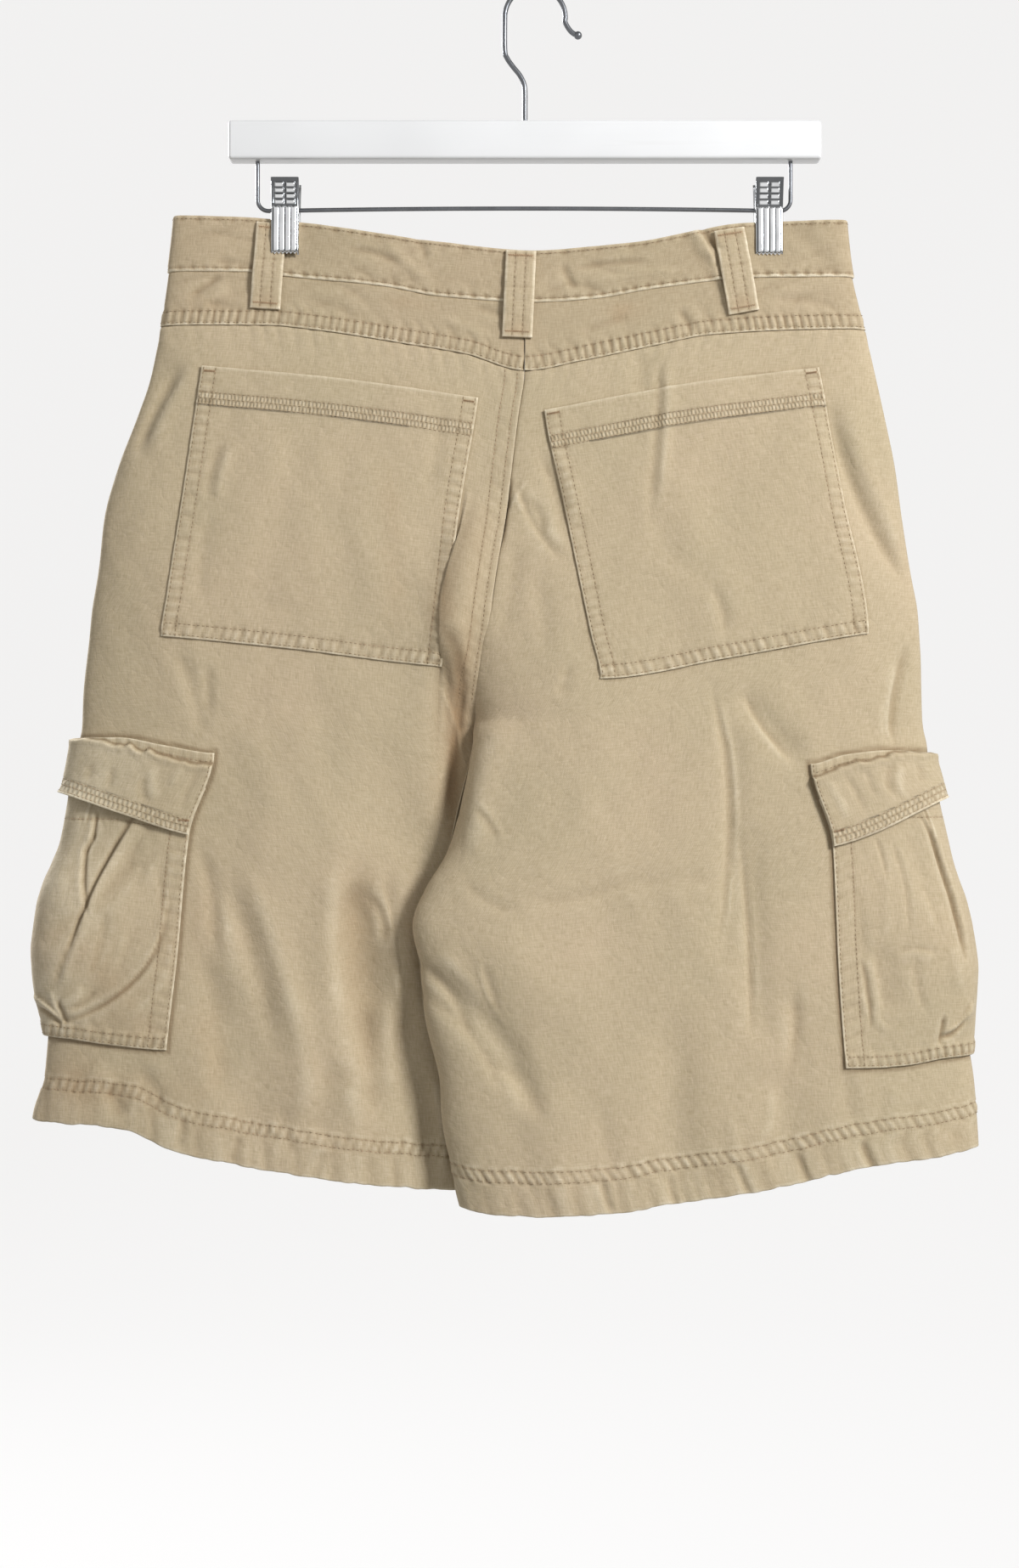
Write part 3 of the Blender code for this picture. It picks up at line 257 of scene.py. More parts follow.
# Finer creases of the back. Lip is 0 for a soft trough or ridge, and 1 or -1 for cloth that folds over
# to the right or left of the line and stands up there.
CREASES = creases(
    (-111, 556, -105, 690, -5, 11, -6.4, 0),
    (-103, 640, -99, 724, -3, 8, -3.4, 0),
    (-96, 580, -87, 650, 3, 4, 1, -1),
    (-50, 430, -54, 556, 4, 8, -1.8, 0),
    (-62, 448, -44, 500, 2, 2.6, 1.3, -1),
    (-104, 583, -96, 612, 2, 3.4, -2.3, 0),
    (-200, 566, -165, 680, 5, 8, -2.4, 0),
    (-186, 560, -150, 676, 5, 8, 1.7, 0),
    (-213, 610, -197, 712, 4, 9, -2.3, 0),
    (-125, 688, -140, 736, 0, 10, -2, 0),
    (-150, 640, -146, 720, 2, 9, 1.7, 0),
    (-86, 640, -84, 730, 2, 9, -2.2, 0),
    (114, 452, 124, 560, 5, 3.4, 0.8, 1),
    (124, 560, 114, 622, 3, 3, 0.9, -1),
    (129, 540, 137, 660, 2, 3.2, 0.8, 1),
    (132, 452, 163, 500, -3, 3.4, 0.77, -1),
    (231, 436, 226, 488, -5, 3.6, 1.6, 1),
    (60, 575, 120, 572, 3, 5, -0.6, 0),
    (-5, 585, 70, 566, -4, 5, -0.9, 0),
    (164, 640, 158, 700, 3, 3.6, -1.1, 0),
    (148, 700, 144, 736, 2, 5, 1, 0),
    (-38, 522, -22, 548, 2, 3, 0.81, 1),
    (-45, 570, -12, 590, -4, 4, -0.78, 0),
    (-38, 618, -20, 664, -3, 3.4, 0.76, 1),
    (-75, 640, -20, 706, 9, 5, -1.44, 0),
    (-30, 680, 4, 722, 3, 5, -1, 0),
    (-64, 700, -60, 770, 3, 4, 1.6, 0),
    (-12, 321, 16, 368, -3, 2.2, -1.1, 0),
    (-6, 318, 22, 364, -3, 3.6, 0.5, 0),
    (-6, 318, -20, 350, -3, 2.4, 1.2, 1),
    (-4, 330, 6, 352, 2, 3.4, -1.4, 0),
    (2, 300, 18, 352, 3, 4, -1.2, 0),
    (10, 296, 28, 344, 3, 5, 1, 0),
    (-12, 360, -22, 420, 2, 6, -1.1, 0),
    (-2, 372, 8, 430, 2, 6, -0.9, 0),
    (74, 336, 98, 380, -3, 9, -1.3, 0),
    (112, 386, 120, 416, 2, 4, -1.2, 0),
    (90, 778, 84, 756, 1, 2.4, -2, 0),
    (136, 771, 126, 748, 1, 2.4, -2.1, 0),
    (175, 764, 166, 744, 1, 2.4, -1.8, 0),
    (48, 780, 42, 758, 1, 2.4, -1.6, 0),
    (216, 756, 206, 736, 1, 2.4, -1.6, 0),
    (-272, 700, -262, 722, 1, 5, -1.7, 0),
    (-226, 742, -222, 722, 0, 3, -1.4, 0),
    (-192, 752, -186, 734, 1, 3, -1.2, 0),
    (-140, 764, -134, 744, 1, 3, -1, 0),
    (113, 447, 115, 618, 8, 2.4, -1.2, 0),
    (122, 450, 124, 600, 8, 6, 0.6, 0),
    (130, 545, 136, 668, 2, 2.4, -1.5, 0),
    (142, 556, 146, 640, 1, 6, 0.5, 0),
    (132, 453, 161, 494, -2, 2.4, -1.2, 0),
    (141, 448, 166, 486, -2, 5, 0.3, 0),
    (23, 436, 17, 455, 0, 3.6, -0.9, 0),
    (-36, 526, -23, 544, 0, 3, -0.84, 0),
    (-34, 622, -23, 658, 1, 3.2, -0.8, 0),
    (188, 272, 239, 384, -7, 4, -1.7, 0),
    (198, 268, 246, 372, -7, 7, 1.6, 0),
    (239, 424, 228, 489, -4, 3.2, -2.3, 0),
    (231, 432, 221, 484, -3, 5, 1, 0),
    (-227, 246, -254, 299, -2, 4, -2, 0),
    (-218, 242, -244, 300, -2, 6, 1.6, 0),
    (-209, 436, -208, 468, 0, 4, -1.2, 0),
    (-230, 423, -212, 482, 3, 5, -1.2, 0),
    (-212, 550, -203, 618, 3, 5, -1.6, 0),
    (-200, 560, -192, 640, 3, 8, 1.2, 0),
    (-105, 583, -92, 620, 2, 4, 0.9, 0),
    (-92, 562, -84, 640, -4, 5, -1.8, 0),
    (-128, 560, -120, 660, -5, 8, 1.4, 0),
    (-146, 600, -132, 700, -4, 9, -1.2, 0),
    (-74, 622, -40, 668, 5, 3.6, -1.5, 0),
    (-62, 616, -34, 652, 4, 5, 1, 0),
    (-20, 684, 6, 716, 2, 4.5, -0.8, 0),
    (-54, 412, -49, 446, 1, 3, -1.9, 0),
    (-47, 440, -53, 530, -2, 3.2, -2.5, 0),
    (-22, 470, -40, 560, -3, 9, 2.2, 0),
    (-16, 330, -22, 352, 1, 2.4, -1, 0),
    (-13, 326, -8, 338, 0, 2.2, 0.8, 0),
    (79, 238, 72, 344, 2, 3.4, -1.3, 0),
    (84, 240, 77, 330, 2, 5, 1.3, 0),
    (70, 236, 66, 262, 0, 6, -1.2, 0),
    (-60, 268, -70, 330, 3, 6, -1.1, 0),
    (-150, 262, -190, 420, 10, 12, -1.1, 0),
    (-110, 300, -96, 420, -6, 12, 1.1, 0),
    (120, 290, 96, 400, 6, 12, -0.9, 0),
    (48, 450, 30, 560, -6, 14, 0.9, 0),
    (70, 520, 78, 640, 4, 12, -0.7, 0),
    (30, 560, 44, 690, 6, 14, -0.7, 0),
    (160, 640, 170, 700, 0, 6, -1.1, 0),
    (196, 690, 200, 726, 0, 6, -1.1, 0),
    (-180, 470, -170, 570, 4, 13, 1.2, 0),
    (-140, 446, -128, 540, 3, 12, -1.2, 0),
    (-250, 690, -236, 722, 2, 5, -1.4, 0),
    (-282, 690, -270, 706, 0, 7, 1.4, 0),
    (-160, 712, -154, 748, 0, 6, -1, 0),
    (-120, 700, -112, 752, 2, 7, 1, 0),
    (-76, 690, -70, 752, 2, 7, -1.7, 0),
    (40, 708, 46, 760, 1, 6, -0.7, 0),
    (122, 716, 128, 756, 0, 5, 0.7, 0),
    (226, 700, 230, 736, 0, 6, 0.9, 0),
    (-221, 199, -201, 185, 0, 2.2, -1.7, 0),
    (-214, 206, -196, 192, 0, 4, 1.1, 0),
    (-150, 200, -110, 214, 2, 4, -0.8, 0),
    (-60, 212, -30, 226, 1, 4, 0.8, 0),
    (92, 206, 100, 222, 0, 3, -1.1, 0),
    (-120, 168, -86, 178, 2, 2.6, -1.1, 0),
    (-96, 160, -64, 190, -3, 4, 0.9, 0),
    (24, 181, 72, 176, 1, 2.2, -1.2, 0),
    (34, 190, 96, 182, 2, 3, 0.8, 0),
    (-78, 158, -70, 176, 2, 2.6, -1.2, 0),
    (18, 178, 26, 194, -1, 2.4, -1.4, 0),
    (106, 150, 121, 170, -3, 2.2, -1.9, 0),
    (102, 152, 115, 176, -3, 3.5, 1.6, 0),
    (160, 150, 190, 184, 3, 6, -0.9, 0),
    (105, 156, 116, 180, 1, 2.8, 1.7, -1),
    (116, 180, 124, 208, 1, 2.4, 1.3, -1),
    (-212, 204, -190, 208, 2, 2.6, -0.8, 0),
    (-198, 292, -207, 330, -2, 4, -1.2, 0),
    (-193, 296, -202, 332, -2, 4, 0.8, 0),
    (-206, 340, -212, 396, -2, 5, -0.8, 0),
    (-176, 396, -150, 404, 2, 6, -0.6, 0),
    (-206, 176, -180, 180, 1, 2.6, -0.9, 0),
    (-40, 205, -14, 214, 1, 3, -1, 0),
    (150, 200, 196, 206, 2, 3.4, -0.9, 0),
    (30, 222, 60, 212, 1, 3, -0.8, 0),
)
FRONT_CREASES = creases(
    (-60, 256, -46, 330, 3, 3, -1, 0),
    (-92, 250, -84, 290, 1, 3, -0.8, 0),
    (34, 252, 22, 300, 2, 3, -1.1, 0),
    (70, 250, 60, 300, 2, 4, -0.8, 0),
    (-118, 320, -66, 440, 8, 5, -1.3, 0),
    (-108, 316, -58, 430, 8, 7, 1, 0),
    (60, 384, 20, 452, -5, 4, -1.4, 0),
    (52, 380, 12, 446, -5, 6, 1, 0),
    (118, 300, 92, 372, -4, 6, -0.8, 0),
    (-200, 240, -232, 330, -4, 4, -1.3, 0),
    (176, 250, 206, 340, 4, 4, -1.3, 0),
    (190, 300, 214, 400, -3, 6, -0.9, 0),
    (-90, 452, -140, 488, 6, 4, -1.4, 0),
    (-70, 470, -120, 516, 5, 5, -1, 0),
    (40, 468, 92, 500, -6, 4, -1.2, 0),
    (-190, 420, -176, 600, 5, 7, -1.3, 0),
    (-150, 500, -160, 610, -4, 5, -1, 0),
    (150, 430, 160, 610, 5, 7, -1.3, 0),
    (84, 560, 78, 690, -3, 4, -1.2, 0),
    (-60, 560, -52, 730, 4, 6, -1.5, 0),
    (40, 580, 52, 736, 4, 6, -1.5, 0),
    (-150, 620, -140, 740, 4, 6, 1.1, 0),
    (140, 600, 136, 740, 4, 6, 1.1, 0),
    (0, 640, -8, 740, 4, 8, 1.1, 0),
    (-250, 690, -244, 722, 2, 4, -1.3, 0),
    (226, 690, 232, 730, 2, 4, -1.3, 0),
)
# Creases of the cargo pockets, in mm from the pocket's back edge and drop
CARGO_CREASES = {
    LEFT: creases(
        (62, 528, 61.5, 547, 0, 2.8, 0.6, 1),
        (61, 542, 65.5, 556, 0, 2.8, 0.7, 1),
        (65, 549, 58, 594, 1, 3.4, 0.7, 1),
        (60.6, 528, 60, 547, 0, 1.3, -1.6, 0),
        (59.6, 542, 64, 556, 0, 1.3, -1.6, 0),
        (63.6, 549, 56.6, 594, 1, 1.4, -1.8, 0),
        (34, 530, 64, 612, 3, 7, 2.6, -1),
        (36, 530, 65, 614, 3, 1.5, -1.8, 0),
        (60, 600, 72, 640, 1, 2.6, -1.1, 0),
        (9, 578, 66, 659, -18.5, 3.4, 1.1, 1),
        (7.4, 578, 66, 662, -18.5, 1.5, -1.9, 0),
        (3, 600, 30, 662, -10, 4, 0.8, 0),
        (86, 646, 69, 660, -2, 3.2, 2.2, 1),
        (84, 654, 68, 665, -2, 1.8, -2.5, 0),
        (70, 648, 65, 663, 0, 1.8, -2.4, 0),
        (74, 642, 67, 658, 1, 2.4, 1.1, 0),
        (56, 640, 70, 652, -2, 2.6, 1, 0),
        (48, 640, 62, 654, -2, 2.2, -0.9, 0),
        (26, 540, 30, 580, -2, 3, -0.6, 0),
        (14, 552, 12, 590, 1, 2.6, -0.7, 0),
        (46, 590, 52, 632, -2, 3, -0.7, 0),
        (34, 604, 44, 640, -2, 3, 0.6, 0),
        (58, 604, 66, 640, 2, 4, 0.8, 0),
        (120, 532, 126, 578, -3, 6, 1, -1),
        (112, 536, 117, 570, -3, 3, -0.9, 0),
        (150, 600, 130, 656, -8, 6, 1.2, -1),
        (136, 540, 150, 620, 3, 8, -1.2, 0),
    ),
    RIGHT: creases(
        (62.5, 534, 79, 622, 2, 3.6, 1.2, 1),
        (61, 532, 77.4, 622, 2, 1.4, -2.4, 0),
        (82, 650, 65, 668, 3, 4.2, 2.6, 1),
        (79, 660, 63, 672, 2, 1.7, -3, 0),
        (65, 658, 62, 676, 0, 1.5, -2, 0),
        (15, 622, 18.5, 663, 1, 1.3, -1.9, 0),
        (20, 620, 23, 660, 1, 3, 0.8, 0),
        (38, 616, 62, 617, 2, 1.8, -0.5, 0),
        (36, 622, 60, 622, 3, 4, 0.4, 0),
        (38, 546, 45, 604, 3, 2.2, -0.7, 0),
        (28, 544, 33, 570, 1, 1.6, -0.7, 0),
        (56, 574, 64, 606, 1, 2.2, -0.5, 0),
        (34, 560, 30, 612, 1, 4, 0.6, 0),
        (15, 575, 17, 624, 0, 3, -0.6, 0),
        (48, 620, 54, 656, -2, 3, -0.7, 0),
        (70, 612, 74, 644, 1, 4, 0.9, 0),
        (12, 640, 30, 668, -3, 3, 0.6, 0),
        (130, 536, 120, 590, 3, 5, 1.1, -1),
        (124, 540, 114, 572, 3, 3, -0.8, 0),
        (150, 610, 132, 664, -6, 3, -1.1, 0),
        (136, 600, 122, 660, -6, 6, 1.1, 0),
    ),
}
# How far the pouch hangs off the leg, from its top seam (0) down to its foot (1)
CARGO_SWELL = table(
    "down left right",
    (-0.12, 0.4, 0.4), (0, 1.4, 1.4), (0.15, 2.6, 3), (0.28, 4.2, 4.2), (0.36, 7.5, 6),
    (0.44, 11.2, 8.6), (0.53, 13.2, 10.2), (0.66, 13.2, 10.8), (0.76, 11.4, 9), (0.86, 8.2, 6.2),
    (0.95, 3.6, 2.6), (1, 1, 0.4),
)
# How far below its top seam the flap turns over, from its back edge round to its front
FLAP_TURN = {
    LEFT: table(
        "x depth",
        (0, 7.4), (12, 8.3), (28, 7.5), (36, 6.2), (41, 4.8), (45, 7.2), (50, 6.2), (54.6, 3.7),
        (58, 5.5), (63, 5.2), (71, 2.7), (86, 0.8), (190, 0.8),
    ),
    RIGHT: table(
        "x depth",
        (0, 8.9), (10, 8.4), (21, 7.3), (30, 5.8), (37, 6.4), (43, 5.3), (48.6, 4.6), (52, 2.4),
        (57, 1.8), (68, 0.8), (190, 0.8),
    ),
}

# ------------------------------------------------------------------ the form


def smooth(rows, key, column, at):
    """One column read at any key, on a cubic that never overshoots its rows."""
    keys, values = rows[key], rows[column]
    step = np.diff(keys)
    slope = np.diff(values) / step
    tangent = np.zeros(len(keys))
    tangent[0], tangent[-1] = slope[0], slope[-1]
    same_way = slope[:-1] * slope[1:] > 0
    mean = 2 * slope[:-1] * slope[1:] / np.where(same_way, slope[:-1] + slope[1:], 1)
    tangent[1:-1] = np.where(same_way, mean, 0)
    at = np.asarray(at, float)
    i = np.clip(np.searchsorted(keys, at) - 1, 0, len(keys) - 2)
    f = np.clip((at - keys[i]) / step[i], 0, 1)
    rise = values[i + 1] - values[i]
    start, end = tangent[i] * step[i], tangent[i + 1] * step[i]
    return values[i] + f * start + f**2 * (3 * rise - 2 * start - end) + f**3 * (start + end - 2 * rise)


def drop_on(line, x):
    """The drop of a line across the garment at x."""
    return smooth(line, "x", "drop", x)


def body(column, drop):
    """One column of the form's table at a drop."""
    return smooth(BODY, "drop", column, drop)


def back_edge(side, which, drop):
    """The x of the inner or the outer edge of the pockets on the back."""
    return smooth(BACK_EDGES[side], "drop", which + "_x", drop)


def ease(low, high, value):
    """0 up to low and 1 from high on, with a soft rise between."""
    f = np.clip((value - low) / (high - low), 0, 1)
    return f * f * (3 - 2 * f)


def bell(value, width):
    """1 at 0, falling off softly to both sides."""
    return np.exp(-((value / width) ** 2))


def relief(folds, x, drop):
    """How far the folds push the cloth out at a place, fading at both ends."""
    x, drop = np.broadcast_arrays(np.asarray(x, float), np.asarray(drop, float))
    total = np.zeros(x.shape)
    lips = folds.get("lip", np.zeros(len(folds["bow"])))
    names = ("start_x", "start_drop", "end_x", "end_drop", "bow", "width", "height")
    for x0, d0, x1, d1, bow, width, height, lip in zip(*(folds[name] for name in names), lips):
        reach = 3 * width + abs(bow)
        near = (x > min(x0, x1) - reach) & (x < max(x0, x1) + reach)
        near &= (drop > min(d0, d1) - reach) & (drop < max(d0, d1) + reach)
        if not near.any():
            continue
        at_x, at_d = x[near], drop[near]
        length = math.hypot(x1 - x0, d1 - d0)
        along_x, along_d = (x1 - x0) / length, (d1 - d0) / length
        along = ((at_x - x0) * along_x + (at_d - d0) * along_d) / length
        across = (at_x - x0) * along_d - (at_d - d0) * along_x
        inside = np.clip(along, 0, 1)
        across = across - bow * 4 * inside * (1 - inside)
        beyond = np.abs(along - inside) * length
        fade = ease(-0.1, 0.25, along) * ease(1.1, 0.75, along)
        if lip:
            over = across * lip
            shape = ease(-0.9, 0.9, over) * np.exp(-(np.maximum(over, 0) ** 2 + beyond**2) / width**2)
        else:
            shape = np.exp(-(across**2 + beyond**2) / width**2)
        total[near] += height * fade * shape
    return total


def edge_power(radius, width, depth):
    """The power of t that rounds an edge of the section to this radius."""
    return np.maximum(2 * radius * width / depth**2, 2.5)


def body_xy(side, face, t, drop):
    """The cloth's form at share t of the way from the centre (0) to the side seam (1)."""
    side_x, inner_x = edges_x(side, drop)
    held = (1 - body("free", drop)) * (1 - t) ** SWAY_HOLD
    sway = body(WORD[side] + "_sway", drop) * (1 - t) ** 1.5 * (1 - held)
    depth = body("back" if face == BACK else "front", drop)
    x = inner_x + (side_x - inner_x) * t
    width = np.abs(side_x - inner_x)
    radius = WAIST_EDGE_RADIUS + (LEG_EDGE_RADIUS - WAIST_EDGE_RADIUS) * ease(200, 400, drop)
    side_round = np.sqrt(np.clip(1 - t ** edge_power(radius, width, depth), 0, 1))
    tuck = body("tuck", drop) * TUCKED.get((side, face), 0.0)
    inner_power = edge_power(INNER_RADIUS[side], width, depth * (1 - tuck))
    inner_round = np.sqrt(np.clip(1 - body("closed", drop) * (1 - t) ** inner_power, 0, 1))
    belly = depth + relief(FOLDS if face == BACK else FRONT_FOLDS, x, drop)
    belly = belly * (1 - tuck * ease(0.42, 0.2, t))
    y = sway + face * belly * side_round * inner_round
    return x, y


def skin(side, face, t, drop, lift):
    """A point of the form moved out by lift, as (..., 3) in mm."""
    t, drop = np.broadcast_arrays(np.asarray(t, float), np.asarray(drop, float))

    def place(t, drop):
        x, y = body_xy(side, face, t, drop)
        return np.stack((x, y, -drop), axis=-1)

    across = place(np.clip(t + SHARE_NUDGE, 0, 1), drop) - place(np.clip(t - SHARE_NUDGE, 0, 1), drop)
    down = place(t, drop + DROP_NUDGE) - place(t, drop - DROP_NUDGE)
    normal = np.cross(across, down) * face * side
    normal = normal / np.linalg.norm(normal, axis=-1, keepdims=True)
    return place(t, drop) + normal * np.asarray(lift, float)[..., None]


def edges_x(side, drop):
    """The x of a half's side seam and of its inner edge."""
    return body(WORD[side] + "_side", drop), body(WORD[side] + "_inner", drop)


def share_at_x(side, x, drop):
    """The share of the way from the inner edge to the side seam at which x lies."""
    side_x, inner_x = edges_x(side, drop)
    return np.clip((x - inner_x) / (side_x - inner_x), 0, 1)


def x_at_share(side, t, drop):
    """The x at a share of the way from the inner edge to the side seam."""
    side_x, inner_x = edges_x(side, drop)
    return inner_x + (side_x - inner_x) * t


def centre_x(drop):
    """The x of the centre seam, where the two halves meet."""
    return body("left_inner", drop)


def arc_table(side, face, drop):
    """Shares near the side seam and how far round the leg from it each lies."""
    t = 1 - SIDE_REACH * np.linspace(0, 1, ARC_SAMPLES) ** 2
    x, y = body_xy(side, face, t, np.full(t.shape, float(drop)))
    return t, np.concatenate(([0], np.hypot(np.diff(x), np.diff(y)).cumsum()))


@cache
def front_cargo_edge(side):
    """Where the cargo pocket's front edge lies, its width measured round from its back edge."""
    levels = np.linspace(BODY["drop"][0], BODY["drop"][-1], 40)
    found = []
    for drop in levels:
        shares, run = arc_table(side, BACK, drop)
        back = np.interp(1 - share_at_x(side, back_edge(side, "outer", drop), drop), 1 - shares, run)
        shares, run = arc_table(side, FRONT, drop)
        found.append(np.interp(CARGO_WIDTH - back, run, shares))
    return table("drop share", *zip(levels, found))


def front_dip(x):
    """How much lower the front of the waist hangs than the back."""
    return FRONT_WAIST_DIP * np.clip(1 - ((x + 15) / 216) ** 2, 0, 1)


def line_drop(line, side, face, t, guess):
    """The drop of a cutting line where it crosses share t, from a first guess."""
    drop = np.full(t.shape, float(guess))
    for _ in range(4):
        x = x_at_share(side, t, drop)
        drop = drop_on(line, x)
        if face == FRONT and (line is WAIST_TOP or line is BAND_BOTTOM):
            drop = drop + front_dip(x)
    if face == FRONT and line is HEM[side]:
        drop = drop - FRONT_HEM_RISE * 4 * t * (1 - t)
    return drop


def cockle(x, drop, seed):
    """The soft unevenness of washed cloth that hangs free."""
    waves = (
        0.34 * np.sin(x / 13.7 + 1.3 * np.sin(drop / 41 + seed) + seed),
        0.26 * np.sin(drop / 17.9 + 1.7 * np.sin(x / 33 - seed) + 2 * seed),
        0.14 * np.sin((1.6 * x + 0.5 * drop) / 9.3 + 2.4 * np.sin(drop / 29 + x / 47 + seed)),
        0.10 * np.sin((x - 0.4 * drop) / 6.1 + 2.2 * np.sin(x / 31 - drop / 38 + 3 * seed)),
    )
    return sum(waves)


def rumple(x, drop, seed):
    """Short sharp wrinkles that run along a doubled, much washed band."""
    warp = 3.1 * np.sin(x / 29 + seed) + 2.3 * np.sin(x / 12.3 + 1.9 * seed) + 1.2 * np.sin(drop / 6 + seed)
    line = np.abs(np.sin(drop / 7.3 + warp / 2.4))
    other = np.abs(np.sin(x / 17.0 + drop / 9.1 + 1.4 * np.sin(drop / 8.7 + x / 41) + seed))
    alive = 0.35 + 0.65 * ease(-0.2, 0.8, np.sin(x / 21.7 + drop / 15 + 2.3 * seed))
    return (0.55 * np.sqrt(line) + 0.35 * np.sqrt(other) - 0.6) * alive


def drape(side, face, t, drop):
    """Finer creases and unevenness of the form, which every piece on it follows."""
    x = x_at_share(side, t, drop)
    calm = ease(0, 0.05, 1 - t)
    fine = relief(CREASES if face == BACK else FRONT_CREASES, x, drop)
    loose = cockle(x, drop, 1.0 + face) * ease(190, 290, drop) * 1.15
    washed = 1.5 * rumple(x, drop, 1.0 + face) * ease(225, 196, drop)
    return (fine + loose + washed) * calm


# ------------------------------------------------------------------ cut pieces

THREAD_ROWS = []
TACK_ROWS = []
RELIEF_REACH = 14
STITCH_TRIM = 1.5
TACK_TURNS, TACK_HALF, TACK_PROUD = 22, 0.55, 0.12
RIM, NEXT_TO_RIM = 0.45, 0.86
ON_AXIS = 1e-6
SEAM_SEED = iter(range(1, 1000))


def steps(count, length):
    """Even shares from 0 to 1 with one extra close to each end, where the cloth's edge rolls over.

    A piece has an odd number of them, so that its inner wall can take every second point.
    """
    near = 0.35 / length
    return np.concatenate(([0, near], np.linspace(0, 1, count)[1:-1], [1 - near, 1]))


def uneven(run, pitch, seed):
    """Puckers along a seam, from -1 to 1, uneven in length and depth."""
    wander = 1.2 * np.sin(run / 37 + seed) + 0.8 * np.sin(run / 13.7 + 2.1 * seed)
    phase = run / pitch * TURN + wander + 0.6 * np.sin(run / 6.1 + 3.3 * seed)
    power = 0.76 + 0.24 * np.sin(run / 17 + 1.7 * seed)
    return (np.sin(phase) + 0.3 * np.cos(2 * phase)) * power


